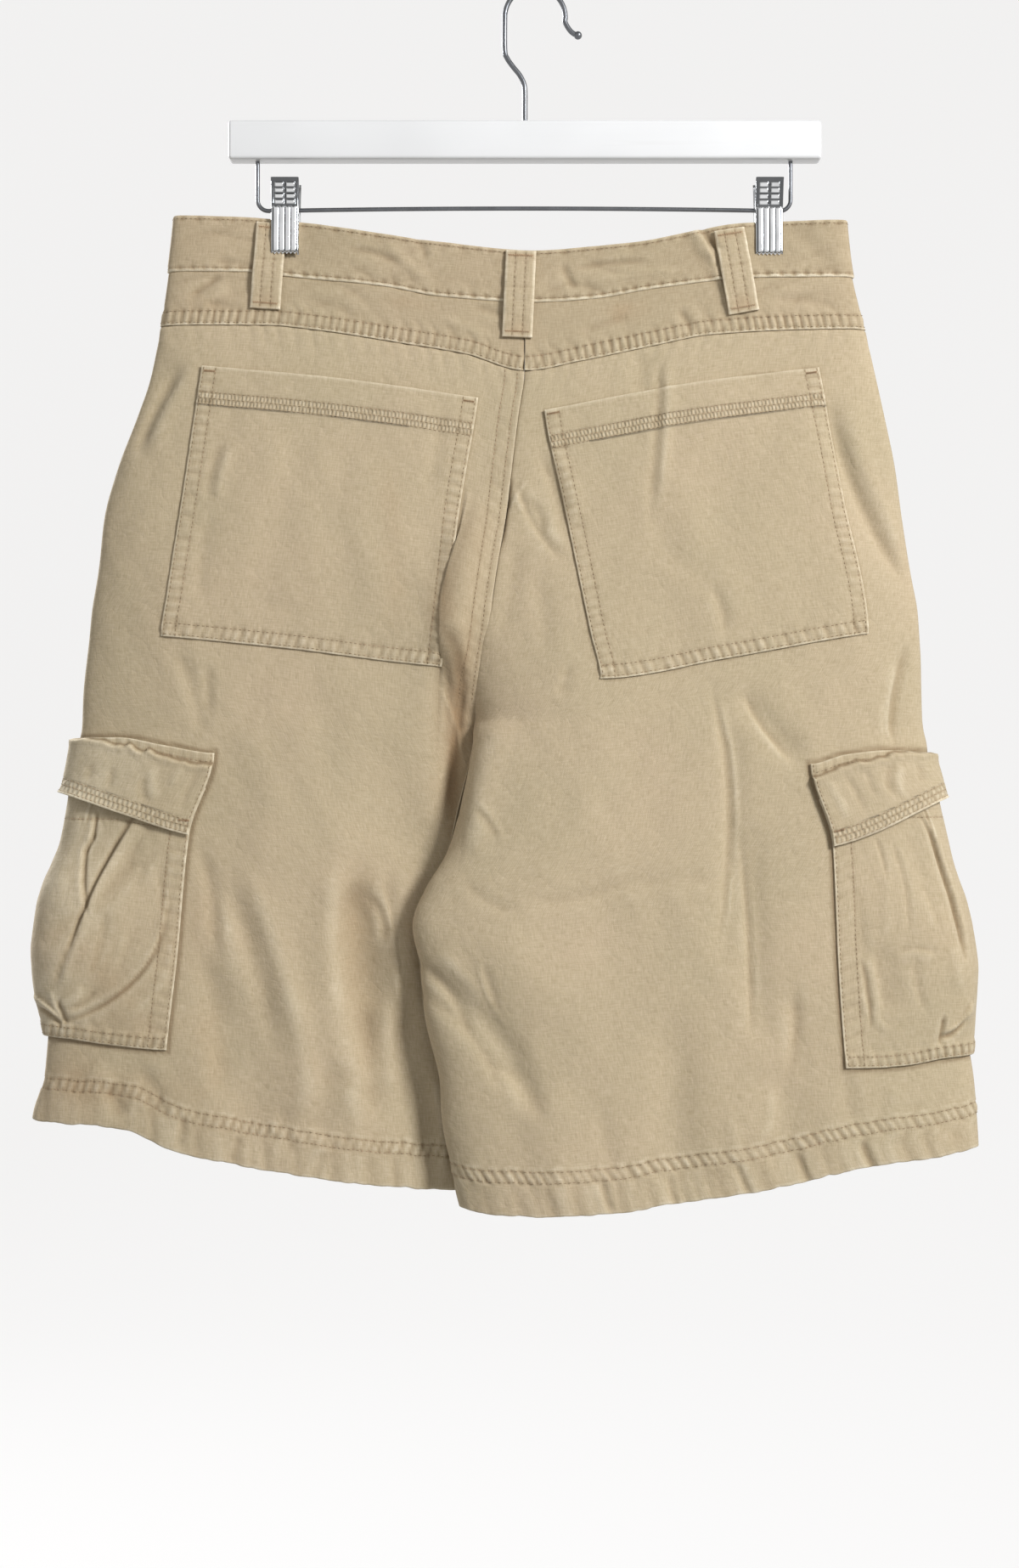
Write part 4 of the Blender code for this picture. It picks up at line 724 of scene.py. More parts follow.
class Cut:
    """A cut piece as a grid of places on the form, with its edges, seams, worn places, painted light and
    shade, and stitching.
    """

    def __init__(self, place, shape, wall=CLOTH, ring=False):
        self.place = place
        self.ring = ring
        self.wall = np.full(shape, wall)
        self.lift = np.zeros(shape)
        self.wear_and_shade = np.zeros(shape)
        self.stain_and_shade = np.zeros(shape)
        self.beads = np.zeros(shape + (3,))
        base = place(np.zeros(shape))
        across = np.zeros(shape)
        across[:, 1:] = np.linalg.norm(np.diff(base, axis=1), axis=2).cumsum(axis=1)
        down = np.zeros(shape)
        down[1:] = np.linalg.norm(np.diff(base, axis=0), axis=2).cumsum(axis=0)
        self.base = base
        self.off = {"left": across, "right": across[:, -1:] - across, "top": down, "foot": down[-1:] - down}
        self.run = {"left": down, "right": down, "top": across, "foot": across}
        self.stitches = []

    def relief_wear_and_shade(self, follow=0.0, gain=0.42, crest=0.8):
        """Ridges are painted pale, as worn and lit, and hollows dark as painted shade, by how far the cloth
        stands above what is round it.
        """
        height = follow + self.lift
        around = height
        for _ in range(RELIEF_REACH):
            wide = np.pad(around, 1, mode="edge")
            around = (wide[:-2, 1:-1] + wide[2:, 1:-1] + wide[1:-1, :-2] + wide[1:-1, 2:]) / 4
        self.wear_and_shade += gain * np.clip(height - around, -1.1, crest)

    def seam(self, edge, rows, ribs, pitch, pale, slant=0.5, beads=0.0, part=(0, 1), grain=1.0):
        """Rows of stitching beside an edge, with the cloth puckered between and just beyond them."""
        off, run = self.off[edge], self.run[edge]
        seed = next(SEAM_SEED)
        whole = run.max(axis=0 if edge in ("left", "right") else 1, keepdims=True)
        share = run / np.maximum(whole, 1e-6)
        live = ease(part[0] - 0.01, part[0] + 0.01, share) * ease(part[1] + 0.01, part[1] - 0.01, share)
        if part == (0, 1):
            live = np.ones(off.shape)
        first, last = min(rows), max(rows)
        middle, half = (first + last) / 2, max((last - first) / 2, 0.8)
        outside = np.maximum(np.abs(off - middle) - half, 0)
        close = bell(outside, 1.0) * live
        far = bell(np.maximum(outside - 0.5, 0), 6.5) * live
        wave = uneven(run + slant * (off - first), pitch, seed)
        drawn = uneven(run + 2.5 * np.sin(off / 3.0 + seed), 2.3 * pitch, seed + 5.0)
        self.lift += ribs * (wave * close + 0.5 * drawn * far)
        # Pucker crests are painted pale, as worn and lit, and their troughs dark as painted shade
        self.wear_and_shade += ribs * (1.0 * wave * close + 0.25 * drawn * far)
        for row in rows:
            self.lift -= 0.24 * bell(off - row, 0.9) * live
            # Painted shade along each sunk row of stitching
            self.wear_and_shade -= (0.16 if beads else 0.42) * bell(off - row, 0.95) * live
            self.stitches.append((edge, row, part))
        self.wear_and_shade += 1.15 * pale * ease(2.3, 0.7, off) * live * (0.85 + 0.2 * wave)
        if beads:
            power = beads * ease(half + 1.2, half - 0.2, np.abs(off - middle)) * live
            found = np.stack((run * grain, (off - first) / (last - first), power), axis=-1)
            self.beads = np.where(power[..., None] > self.beads[..., 2:], found, self.beads)

    def roll(self, edge):
        """The cloth turns in where it meets its neighbour."""
        self.lift -= 0.4 * bell(self.off[edge], 1.4)

    def spots(self):
        """Faint stains with soft uneven edges, some of them painted shade in valleys."""
        for x, drop, wide, tall, amount in STAINS_AND_SHADE:
            dx, dz = self.base[..., 0] - x, -self.base[..., 2] - drop
            ragged = 1 + 0.25 * np.sin(dx / 2.7 + drop) * np.sin(dz / 3.1 + x)
            self.stain_and_shade += amount * np.exp(-((dx / wide) ** 2 + (dz / tall) ** 2) * ragged)

    def surfaces(self):
        """The outer and inner walls, which close in on each other along the edges."""
        rim = np.ones(self.lift.shape)
        rim[[0, -1]] = RIM
        rim[[1, -2]] = np.minimum(rim[[1, -2]], NEXT_TO_RIM)
        if not self.ring:
            rim[:, [0, -1]] = RIM
            rim[:, [1, -2]] = np.minimum(rim[:, [1, -2]], NEXT_TO_RIM)
        pinch = self.wall * (1 - rim) / 2
        outer = self.place(self.lift + self.wall - pinch)
        inner = self.place(self.lift + pinch)
        return outer, inner

    def line(self, edge, offset, outer, inner, part):
        """Points of the outer wall at an offset from an edge, and the way out there."""
        off, run = self.off[edge], self.run[edge]
        if edge in ("top", "foot"):
            off, run, outer, inner = off.T, run.T, outer.transpose(1, 0, 2), inner.transpose(1, 0, 2)
        if edge in ("right", "foot"):
            off, run, outer, inner = off[:, ::-1], run[:, ::-1], outer[:, ::-1], inner[:, ::-1]
        points, normals = [], []
        longest = run[:, 0].max()
        for i in range(len(off)):
            at = run[i, 0] / longest
            trimmed = not STITCH_TRIM <= run[i, 0] <= longest - STITCH_TRIM
            if not part[0] <= at <= part[1] or trimmed and not self.ring:
                continue
            j = int(np.clip(np.searchsorted(off[i], offset) - 1, 0, off.shape[1] - 2))
            f = np.clip((offset - off[i, j]) / (off[i, j + 1] - off[i, j]), 0, 1)
            point = outer[i, j] * (1 - f) + outer[i, j + 1] * f
            away = point - (inner[i, j] * (1 - f) + inner[i, j + 1] * f)
            points.append(point)
            normals.append(away / np.linalg.norm(away))
        return np.array(points), np.array(normals)

    def build(self, name):
        """Makes the piece, and notes its rows of stitching."""
        outer, inner = self.surfaces()
        for edge, row, part in self.stitches:
            THREAD_ROWS.append(self.line(edge, row, outer, inner, part))
        return slab(name, self, outer, inner)


def quads(grid):
    """The four corners of every cell of a grid of points."""
    corners = (grid[:-1, :-1], grid[:-1, 1:], grid[1:, 1:], grid[1:, :-1])
    return np.stack([c.ravel() for c in corners], axis=1)


def slab(name, cut, outer, inner):
    """A closed shell whose inner wall has every second point of the outer one."""
    rows, columns = outer.shape[:2]
    coarse = inner[::2, ::2]
    few_rows, few = coarse.shape[:2]
    count = rows * columns
    points = np.concatenate((outer.reshape(-1, 3), coarse.reshape(-1, 3))) * MM
    index = np.arange(count).reshape(rows, columns)
    deep = count + np.arange(few_rows * few).reshape(few_rows, few)
    if cut.ring:
        index = np.concatenate((index, index[:, :1]), axis=1)
        deep = np.concatenate((deep, deep[:, :1]), axis=1)

    def strip(edge, under, forward):
        """Triangles between an edge of the outer wall and the coarser edge of the inner one."""
        a, b, c = edge[0:-2:2], edge[1:-1:2], edge[2::2]
        p, q = under[:-1], under[1:]
        faces = np.concatenate((np.stack((a, b, p), 1), np.stack((p, b, q), 1), np.stack((b, c, q), 1)))
        return faces if forward else faces[:, ::-1]

    four = np.concatenate((quads(index), quads(deep)[:, ::-1]))
    three = [strip(index[0], deep[0], False), strip(index[-1], deep[-1], True)]
    if not cut.ring:
        three += [strip(index[:, 0], deep[:, 0], True), strip(index[:, -1], deep[:, -1], False)]
    three = np.concatenate(three)
    i, j = rows // 2, columns // 2
    here, over, under = (points[index[at]] for at in ((i, j), (i, j + 1), (i + 1, j)))
    if np.dot(np.cross(over - here, under - here), outer[i, j] - inner[i, j]) > 0:
        four, three = four[:, ::-1], three[:, ::-1]
    mesh = bpy.data.meshes.new(name)
    mesh.from_pydata(points.tolist(), [], four.tolist() + three.tolist())
    mesh.shade_smooth()

    def spread(values):
        """Values of the grid for the points of both walls."""
        walls = (values, values[::2, ::2])
        return np.concatenate([wall.reshape(-1, *values.shape[2:]) for wall in walls])

    plain = np.concatenate((np.ones(count), np.zeros(few_rows * few)))
    for title, values in (("wear_and_shade", cut.wear_and_shade), ("stain_and_shade", cut.stain_and_shade)):
        layer = mesh.attributes.new(title, "FLOAT", "POINT")
        layer.data.foreach_set("value", (spread(values) * plain).astype(np.float32))
    layer = mesh.attributes.new("beads", "FLOAT_VECTOR", "POINT")
    layer.data.foreach_set("vector", (spread(cut.beads) * plain[:, None]).astype(np.float32).ravel())
    flat = spread(np.stack((cut.off["left"], -cut.off["top"]), axis=-1)) * MM
    corner = np.zeros(len(mesh.loops), np.int32)
    mesh.loops.foreach_get("vertex_index", corner)
    mesh.uv_layers.new(name="weave").uv.foreach_set("vector", flat[corner].astype(np.float32).ravel())
    return piece(name, mesh, TWILL)


def finished(name, shape, sharp=None):
    """The smooth mesh of a closed shape, with corners above an angle in degrees left sharp."""
    bmesh.ops.recalc_face_normals(shape, faces=shape.faces)
    mesh = bpy.data.meshes.new(name)
    shape.to_mesh(mesh)
    shape.free()
    mesh.shade_smooth()
    if sharp:
        mesh.set_sharp_from_angle(angle=math.radians(sharp))
    return mesh


def meshed(name, points, faces, sharp=None, unit=MM):
    """A finished mesh from points, in mm unless another unit is given, and their faces."""
    rough = bpy.data.meshes.new("rough")
    rough.from_pydata((np.array(points) * unit).tolist(), [], faces)
    shape = bmesh.new()
    shape.from_mesh(rough)
    bpy.data.meshes.remove(rough)
    return finished(name, shape, sharp)


def lathe(profile, count):
    """Points and faces of a profile of (out, up) pairs that is turned round the vertical axis."""
    points, faces, before = [], [], []
    for out, up in profile:
        start, around = len(points), count if out > ON_AXIS else 1
        for k in range(around):
            a = TURN * k / count
            points.append((out * math.cos(a), out * math.sin(a), up))
        ring = [start + k % around for k in range(count + 1)]
        for corners in zip(before, before[1:], ring[1:], ring):
            faces.append(tuple(dict.fromkeys(corners)))
        before = ring
    return np.array(points), faces


def piece(name, mesh, material):
    """An object at the origin that rides on the part's one body."""
    mesh.materials.clear()
    mesh.materials.append(material)
    made = bpy.data.objects.new(name, mesh)
    bpy.context.scene.collection.objects.link(made)
    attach(made, "root")
    return made


# ------------------------------------------------------------------ node materials


class Nodes:
    """A short way to build a node tree: each call adds a node and gives back its output."""

    def __init__(self, tree):
        self.tree = tree

    def add(self, kind, *inputs, output=0, **settings):
        node = self.tree.nodes.new(kind)
        for key, value in settings.items():
            setattr(node, key, value)
        for socket, value in inputs:
            if isinstance(value, bpy.types.NodeSocket):
                self.tree.links.new(value, node.inputs[socket])
            else:
                node.inputs[socket].default_value = value
        return node.outputs[output]

    def math(self, operation, a, b=0.0):
        return self.add("ShaderNodeMath", (0, a), (1, b), operation=operation)

    def times(self, a, b):
        return self.math("MULTIPLY", a, b)

    def plus(self, a, b):
        return self.math("ADD", a, b)

    def minus(self, a, b):
        return self.math("SUBTRACT", a, b)

    def place(self):
        """Places on the piece itself, in metres."""
        return self.add("ShaderNodeTexCoord", output=3)

    def attribute(self, name, output=2):
        return self.add("ShaderNodeAttribute", output=output, attribute_name=name)

    def scaled(self, vector, scale):
        return self.add("ShaderNodeVectorMath", (0, vector), (1, scale), operation="MULTIPLY")

    def noise(self, vector, scale, detail, rough=0.5):
        found = (("Vector", vector), ("Scale", scale), ("Detail", detail), ("Roughness", rough))
        return self.add("ShaderNodeTexNoise", *found)

    def band(self, value, low, high, to_low=0.0, to_high=1.0):
        found = ((0, value), (1, low), (2, high), (3, to_low), (4, to_high))
        return self.add("ShaderNodeMapRange", *found, clamp=True)

    def mix(self, share, a, b, blend="MIX"):
        found = (("Factor", share), (6, a), (7, b))
        return self.add("ShaderNodeMix", *found, output=2, data_type="RGBA", blend_type=blend)


def new_material(name, **settings):
    """A Principled material with its constant values set on the shader's own sockets."""
    made = bpy.data.materials.new(name)
    made.use_nodes = True
    shader = made.node_tree.nodes["Principled BSDF"]
    for key, value in settings.items():
        shader.inputs[key.replace("_", " ")].default_value = value
    return made, shader, Nodes(made.node_tree)


def dress(made, shader, n, colour, strength, distance, height):
    """Joins a material's colour and the bump of its height to the shader."""
    bump = n.add("ShaderNodeBump", ("Strength", strength), ("Distance", distance), ("Height", height))
    made.node_tree.links.new(colour, shader.inputs["Base Color"])
    made.node_tree.links.new(bump, shader.inputs["Normal"])
    return made


KHAKI = (0.482, 0.388, 0.250, 1)
OLIVE = (0.474, 0.388, 0.252, 1)
PINKISH = (0.490, 0.387, 0.252, 1)
# The first colour is the pale of worn cloth and also painted light on ridges and lit sides; the second is
# painted shade in creases, hollows and gaps; the third is real stains and also painted shade in some
# valleys
WORN_AND_LIT = (0.80, 0.71, 0.53, 1)
CREVICE_SHADE = (0.190, 0.122, 0.058, 1)
STAIN_AND_SHADE = (0.36, 0.215, 0.105, 1)
THREAD = (0.27, 0.19, 0.10, 1)
RUST = (0.39, 0.225, 0.11, 1)
# Near black, painted as shade and dark reflection in the clips' hollows
METAL_HOLLOW_SHADE = (0.035, 0.038, 0.042, 1)
# How fast the twill's diagonal runs, in radians a metre, and how many mm of seam one bead takes
TWILL_PITCH = 5200.0
BEAD_STEP = 2.4


def twill():
    """Washed cotton twill: slubby yarns, a fine diagonal, pale worn edges, painted light on ridges and
    painted shade in hollows.
    """
    made, shader, n = new_material(
        "washed_twill",
        Roughness=0.92,
        Specular_IOR_Level=0.18,
        Sheen_Weight=0.18,
        Sheen_Roughness=0.6,
        Sheen_Tint=(0.95, 0.88, 0.76, 1),
    )
    flat = n.add("ShaderNodeUVMap", uv_map="weave")
    place = n.place()
    broad = n.noise(place, 9.0, 3.0)
    patchy = n.noise(place, 46.0, 3.0, 0.6)
    warp = n.noise(n.scaled(flat, (1500.0, 150.0, 1.0)), 1.0, 2.0, 0.6)
    weft = n.noise(n.scaled(flat, (130.0, 1500.0, 1.0)), 1.0, 2.0, 0.6)
    yarn = n.plus(n.times(warp, 0.55), n.times(weft, 0.45))
    split = n.add("ShaderNodeSeparateXYZ", (0, flat))
    across, up = split, split.node.outputs[1]
    slope = n.plus(n.times(across, TWILL_PITCH), n.times(up, TWILL_PITCH))
    rib = n.math("SINE", slope)
    wear_and_shade, stain_and_shade = n.attribute("wear_and_shade"), n.attribute("stain_and_shade")
    bead = n.add("ShaderNodeSeparateXYZ", (0, n.attribute("beads", output=1)))
    bead_run, bead_row, bead_power = (bead.node.outputs[i] for i in range(3))

    # Beads between three rows of stitching: two chains, half a step apart
    row_phase = n.times(bead_row, 2.0)
    in_chain = n.minus(n.math("FRACT", row_phase), 0.5)
    wobble = n.times(n.minus(patchy, 0.5), 9.0)
    phase = n.plus(n.times(bead_run, TURN / BEAD_STEP), wobble)
    phase = n.plus(phase, n.times(n.math("FLOOR", row_phase), math.pi))
    along = n.band(n.math("SINE", phase), -0.9, 0.6)
    round_bead = n.minus(1.0, n.times(n.times(in_chain, in_chain), 4.0))
    beads = n.times(n.times(along, round_bead), bead_power)
    gaps = n.times(n.minus(1.0, n.times(along, round_bead)), bead_power)

    colour = n.mix(n.band(broad, 0.34, 0.66), OLIVE, PINKISH)
    colour = n.mix(n.band(patchy, 0.3, 0.7, 0.0, 0.5), colour, KHAKI)
    # Above nought the attribute paints the cloth pale, as worn and lit, and the bead tops too; below
    # nought, and in the gaps between beads, it paints shade
    worn_and_lit = n.plus(wear_and_shade, n.times(beads, 0.30))
    worn_and_lit = n.times(worn_and_lit, n.band(patchy, 0.25, 0.75, 0.55, 1.35))
    colour = n.mix(n.band(worn_and_lit, 0.05, 1.0, 0.0, 0.8), colour, WORN_AND_LIT)
    hollow_shade = n.minus(n.times(gaps, 0.24), n.math("MINIMUM", wear_and_shade, 0.0))
    colour = n.mix(n.band(hollow_shade, 0.05, 1.0, 0.0, 0.7), colour, CREVICE_SHADE)
    # Real stains and some painted shade in valleys, mixed in as one brown
    marks_and_shade = n.times(stain_and_shade, n.band(patchy, 0.3, 0.7, 0.5, 1.2))
    colour = n.mix(n.band(marks_and_shade, 0.0, 1.0, 0.0, 0.75), colour, STAIN_AND_SHADE)
    shade = n.band(yarn, 0.32, 0.68, 0.84, 1.16)
    shade = n.times(shade, n.band(broad, 0.3, 0.7, 0.97, 1.03))
    shade = n.times(shade, n.band(rib, -1.0, 1.0, 0.985, 1.015))
    greener, bluer = n.math("POWER", shade, 1.1), n.math("POWER", shade, 1.45)
    grey = n.add("ShaderNodeCombineColor", (0, shade), (1, greener), (2, bluer))
    colour = n.mix(1.0, colour, grey, "MULTIPLY")

    height = n.plus(n.times(yarn, 0.10), n.times(rib, 0.012))
    height = n.plus(height, n.times(n.noise(place, 240.0, 3.0, 0.6), 0.09))
    crumple = n.math("ABSOLUTE", n.minus(n.noise(place, 62.0, 3.0, 0.55), 0.5))
    height = n.plus(height, n.times(n.math("POWER", crumple, 0.7), 0.75))
    height = n.plus(height, n.times(beads, 0.42))
    return dress(made, shader, n, colour, 1.0, 0.001, height)


def thread(name, colour, other):
    """Cotton sewing thread, faded in places."""
    made, shader, n = new_material(name, Roughness=0.8, Sheen_Weight=0.15)
    place = n.place()
    tone = n.mix(n.band(n.noise(place, 30.0, 3.0), 0.48, 0.66), colour, other)
    return dress(made, shader, n, tone, 0.6, 0.0002, n.noise(place, 2600.0, 1.0))


def painted_wood():
    """White brushed paint over a planed bar: faint streaks along it and soft pale wear."""
    made, shader, n = new_material("white_paint", Coat_Weight=1.0, Coat_Roughness=0.1)
    place = n.place()
    streak = n.noise(n.scaled(place, (6.0, 160.0, 160.0)), 1.0, 3.0)
    cloud = n.noise(place, 14.0, 2.0)
    tone = n.mix(n.band(cloud, 0.35, 0.65), (0.75, 0.75, 0.745, 1), (0.785, 0.785, 0.78, 1))
    tone = n.mix(n.band(streak, 0.60, 0.80, 0.0, 0.35), tone, (0.62, 0.61, 0.59, 1))
    made.node_tree.links.new(n.band(streak, 0.3, 0.7, 0.36, 0.5), shader.inputs["Roughness"])
    return dress(made, shader, n, tone, 0.35, 0.0003, streak)


def metal(name, colour, rough, grain):
    """Drawn or plated steel with fine scratches, and painted shade where a piece marks its hollows."""
    made, shader, n = new_material(name, Metallic=1.0)
    place = n.place()
    scratch = n.noise(n.scaled(place, grain), 1.0, 3.0)
    cloud = n.noise(place, 90.0, 2.0)
    dull = tuple(0.82 * c for c in colour[:3]) + (1,)
    tone = n.mix(n.band(cloud, 0.35, 0.7), colour, dull)
    # Painted shade and dark reflection where the piece marks its hollows
    tone = n.mix(n.times(n.attribute("hollow_shade"), 0.95), tone, METAL_HOLLOW_SHADE)
    dullness = n.band(scratch, 0.3, 0.7, rough * 0.75, rough * 1.3)
    made.node_tree.links.new(dullness, shader.inputs["Roughness"])
    return dress(made, shader, n, tone, 0.05, 0.0001, scratch)


def horn():
    """Dark marbled button plastic."""
    made, shader, n = new_material("horn", Roughness=0.35)
    swirl = n.noise(n.scaled(n.place(), (260.0, 90.0, 140.0)), 1.0, 4.0)
    tone = n.mix(n.band(swirl, 0.4, 0.62), (0.045, 0.028, 0.016, 1), (0.20, 0.13, 0.075, 1))
    return dress(made, shader, n, tone, 0.2, 0.0001, swirl)


TWILL = twill()
TAN_THREAD = thread("tan_thread", THREAD, (0.40, 0.27, 0.16, 1))
RUST_THREAD = thread("rust_thread", RUST, (0.48, 0.33, 0.20, 1))
PAINT = painted_wood()
WIRE = metal("drawn_wire", (0.155, 0.16, 0.17, 1), 0.34, (900.0, 900.0, 60.0))
CHROME = metal("bright_chrome", (0.80, 0.81, 0.82, 1), 0.16, (1200.0, 1200.0, 80.0))
HORN = horn()

# ------------------------------------------------------------------ the garment's pieces


def sew(cut, node):
    """Builds a cut in place of its solid."""
    made = cut.build(node + "_cloth")
    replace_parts(made, node)


def leg_panel(side, face):
    """A back or front leg, from the seam above it to its turned-up hem."""
    above = BAND_BOTTOM if face == FRONT else YOKE_BOTTOM
    columns = steps(213 if face == BACK else 129, 290)
    if face == FRONT:
        columns = 0.5 * (columns + 0.5 - 0.5 * np.cos(math.pi * columns))
    rows, hem_rows = (257, 27) if face == BACK else (133, 17)
    t = np.tile(columns, (rows, 1))
    top = line_drop(above, side, face, t[0], 240) - TUCK_UNDER
    foot = line_drop(HEM[side], side, face, t[0], 750)
    ends = x_at_share(side, t[0], foot)
    foot = foot + 0.4 * uneven(ends, 27.0, 3.0 * side + face) + 0.2 * uneven(ends, 11.0, 5.0 + side)
    turn = foot - HEM_HEIGHT - 5
    down = np.concatenate(([0, 0.002, 0.0045], np.linspace(0.0075, 1, rows - hem_rows - 3)))
    drop = top + (turn - top) * down[:, None]
    low = np.concatenate((np.linspace(0, 1, hem_rows + 1)[1:-1], [0.99, 1]))[-hem_rows:, None]
    drop = np.concatenate((drop, turn + (foot - turn) * low))
    legs_meet = ease(392, 425, drop) * ease(486, 474, drop)
    shift = np.zeros(t.shape + (3,))
    shift[..., 0] = side * (SEAM_GAP / 2 - CROTCH_LAP * legs_meet)
    shift[..., 1] = face * SEAM_GAP / 2
    follow = drape(side, face, t, drop)
    x = x_at_share(side, t, drop)
    if face == BACK and side == LEFT:
        out, lap = seat_fold(x, drop)
        follow = follow + out
        shift[..., 0] -= lap

    def place(lift):
        return skin(side, face, t, drop, lift + follow - CLOTH) + shift

    cut = Cut(place, t.shape)
    cut.relief_wear_and_shade(follow)
    if face == BACK and side == LEFT:
        # Painted shade over the seat fold's flank and down the valley where the left leg passes behind the
        # right, painted brown there too
        shaded = bell(x - smooth(SEAT_FOLD, "drop", "x", drop) - 8, 12.0)
        cut.wear_and_shade -= 0.52 * shaded * ease(310, 360, drop) * ease(520, 440, drop)
        valley_shade = bell(x + 48 + 0.05 * (drop - 420), 5 + 0.045 * (drop - 400)) * ease(404, 436, drop)
        valley_shade = valley_shade * ease(550, 505, drop)
        cut.wear_and_shade -= 0.45 * valley_shade
        cut.stain_and_shade += 0.34 * valley_shade
    cut.lift -= 1.5 * ease(TUCK_UNDER + 0.6, TUCK_UNDER - 0.8, cut.off["top"])
    # Painted shadow under the yoke's folded foot
    cut.wear_and_shade -= 0.2 * bell(cut.off["top"] - TUCK_UNDER - 0.3, 0.9)
    cut.roll("right")
    below = cut.off["top"] - TUCK_UNDER
    cut.lift += 0.24 * uneven(cut.run["top"] + 0.3 * below, 11.0, 4.0 + side) * bell(below - 3, 11)
    cut.lift += 0.15 * bell(cut.off["left"], 2.0) * ease(400, 340, drop) * (side == LEFT)
    hem_top = ease(HEM_HEIGHT + 1.5, HEM_HEIGHT - 0.5, cut.off["foot"])
    cut.wall = CLOTH + (DOUBLE_CLOTH - CLOTH) * hem_top
    cut.lift -= (cut.wall - CLOTH) * 0.85
    cut.seam("foot", (HEM_HEIGHT - 1.5, HEM_HEIGHT - 8.5), ribs=0.5, pitch=6.2, slant=0.45, pale=0.35)
    cut.wear_and_shade += 0.25 * bell(cut.off["foot"] - HEM_HEIGHT - 0.5, 1.2)
    pulled = uneven(cut.run["foot"], 23.0, side + 3.0 * face)
    pulled = pulled + 0.3 * uneven(cut.run["foot"], 9.5, 2.0 + side)
    # The hem's pulled folds are painted paler on their crests, as worn and lit, and darker between them as
    # painted shade
    cut.wear_and_shade += 0.22 * pulled * ease(HEM_HEIGHT - 9, HEM_HEIGHT - 12, cut.off["foot"])
    near_hem = ease(HEM_HEIGHT, 6, cut.off["foot"]) * ease(HEM_HEIGHT + 20, 10, cut.off["foot"])
    cut.lift += 0.5 * pulled * near_hem
    if face == BACK and side == LEFT:
        end = (CROTCH_DROP - 250) / cut.run["left"].max()
        cut.seam("left", (4.3, 12.4), ribs=0.12, pitch=9.0, pale=0.26, part=(0.004, end))
    if face == BACK and side == RIGHT:
        low_enough = ease(CROTCH_DROP, CROTCH_DROP - 60, drop)
        cut.lift -= 0.35 * bell(cut.off["left"], 2.0) * ease(400, 340, drop)
        pinched = ease(314, 324, drop) * ease(366, 350, drop)
        cut.lift -= 0.8 * bell(cut.off["left"], 1.6) * pinched
        # Painted shade down the centre seam, deepest where it is pinched
        cut.wear_and_shade -= (0.3 + 0.9 * pinched) * bell(cut.off["left"] - 0.6, 1.0) * low_enough
    if face == FRONT:
        cut.seam("right", (2.0, 8.5), ribs=0.18, pitch=8.0, pale=0.4)
    if face == BACK:
        # Painted shadow beside the pockets and the flaps
        cut.wear_and_shade -= 0.75 * patch_shade(side, x, drop)
        cut.spots()
        sew(cut, "back_" + WORD[side])
    else:
        sew(cut, "front_" + WORD[side])


# The seat folds over the left pocket's inner edge: where the fold's edge runs, how high it stands and
# how far it laps over the pocket
SEAT_FOLD = table(
    "drop x height lap width",
    (318, -43, 0, 0, 12),
    (332, -44.5, 1.6, 0.4, 12),
    (350, -47.5, 3, 2, 12),
    (365, -51.5, 4, 3.4, 12),
    (390, -57, 4.6, 4.4, 10),
    (420, -60.5, 4.6, 3.4, 8),
    (436, -61, 4, 1, 7),
    (448, -61.5, 3, 0, 7),
    (480, -62, 1.2, 0, 7),
    (510, -62, 0, 0, 7),
    (560, -62, 0, 0, 7),
)


def seat_fold(x, drop):
    """The lap of the leg's cloth over the pocket: how far it stands out and how far it leans across."""
    columns = ("x", "height", "lap", "width")
    line, height, lap, width = (smooth(SEAT_FOLD, "drop", name, drop) for name in columns)
    past = x - line
    crest = np.maximum(past - 10, 0)
    out = height * ease(-1.0, 10.0, past) * bell(crest, width)
    edge = 1.1 * ease(-0.9, 0.5, past) * bell(np.maximum(past - 0.5, 0), 3.5) * ease(0, 2.0, height)
    return out + edge, lap * ease(-0.8, 2.0, past) * bell(np.maximum(past - 2, 0), 7.0)


def beside(side, x, drop, top, foot, cargo=False):
    """Signed distance outside a patch that is sewn on the back leg."""
    inner, outer = back_edge(side, "inner", drop), back_edge(side, "outer", drop)
    over = drop_on(top, x) - drop
    under = drop - drop_on(foot, x)
    if cargo:
        return np.maximum.reduce((over, under, (outer - x) * side))
    return np.maximum.reduce((over, under, (inner - x) * side, (x - outer) * side))


def patch_shade(side, x, drop):
    """How near the edge of a pocket or flap lies, where a painted shadow falls on the leg."""
    sewn = beside(side, x, drop, POCKET_TOP[side], POCKET_FOOT[side])
    pouch = beside(side, x, drop, FLAP_TOP[side], CARGO_FOOT[side], cargo=True)
    # Stronger on the right half, whose pockets' left edges turn away from the lamp
    patchy = 0.26 + 0.18 * np.sin(drop / 13 + x / 19) + (0.36 if side == RIGHT else 0.0)
    return np.maximum(patchy * bell(sewn - 0.4, 0.7), 1.3 * bell(pouch - 1.1, 1.6))


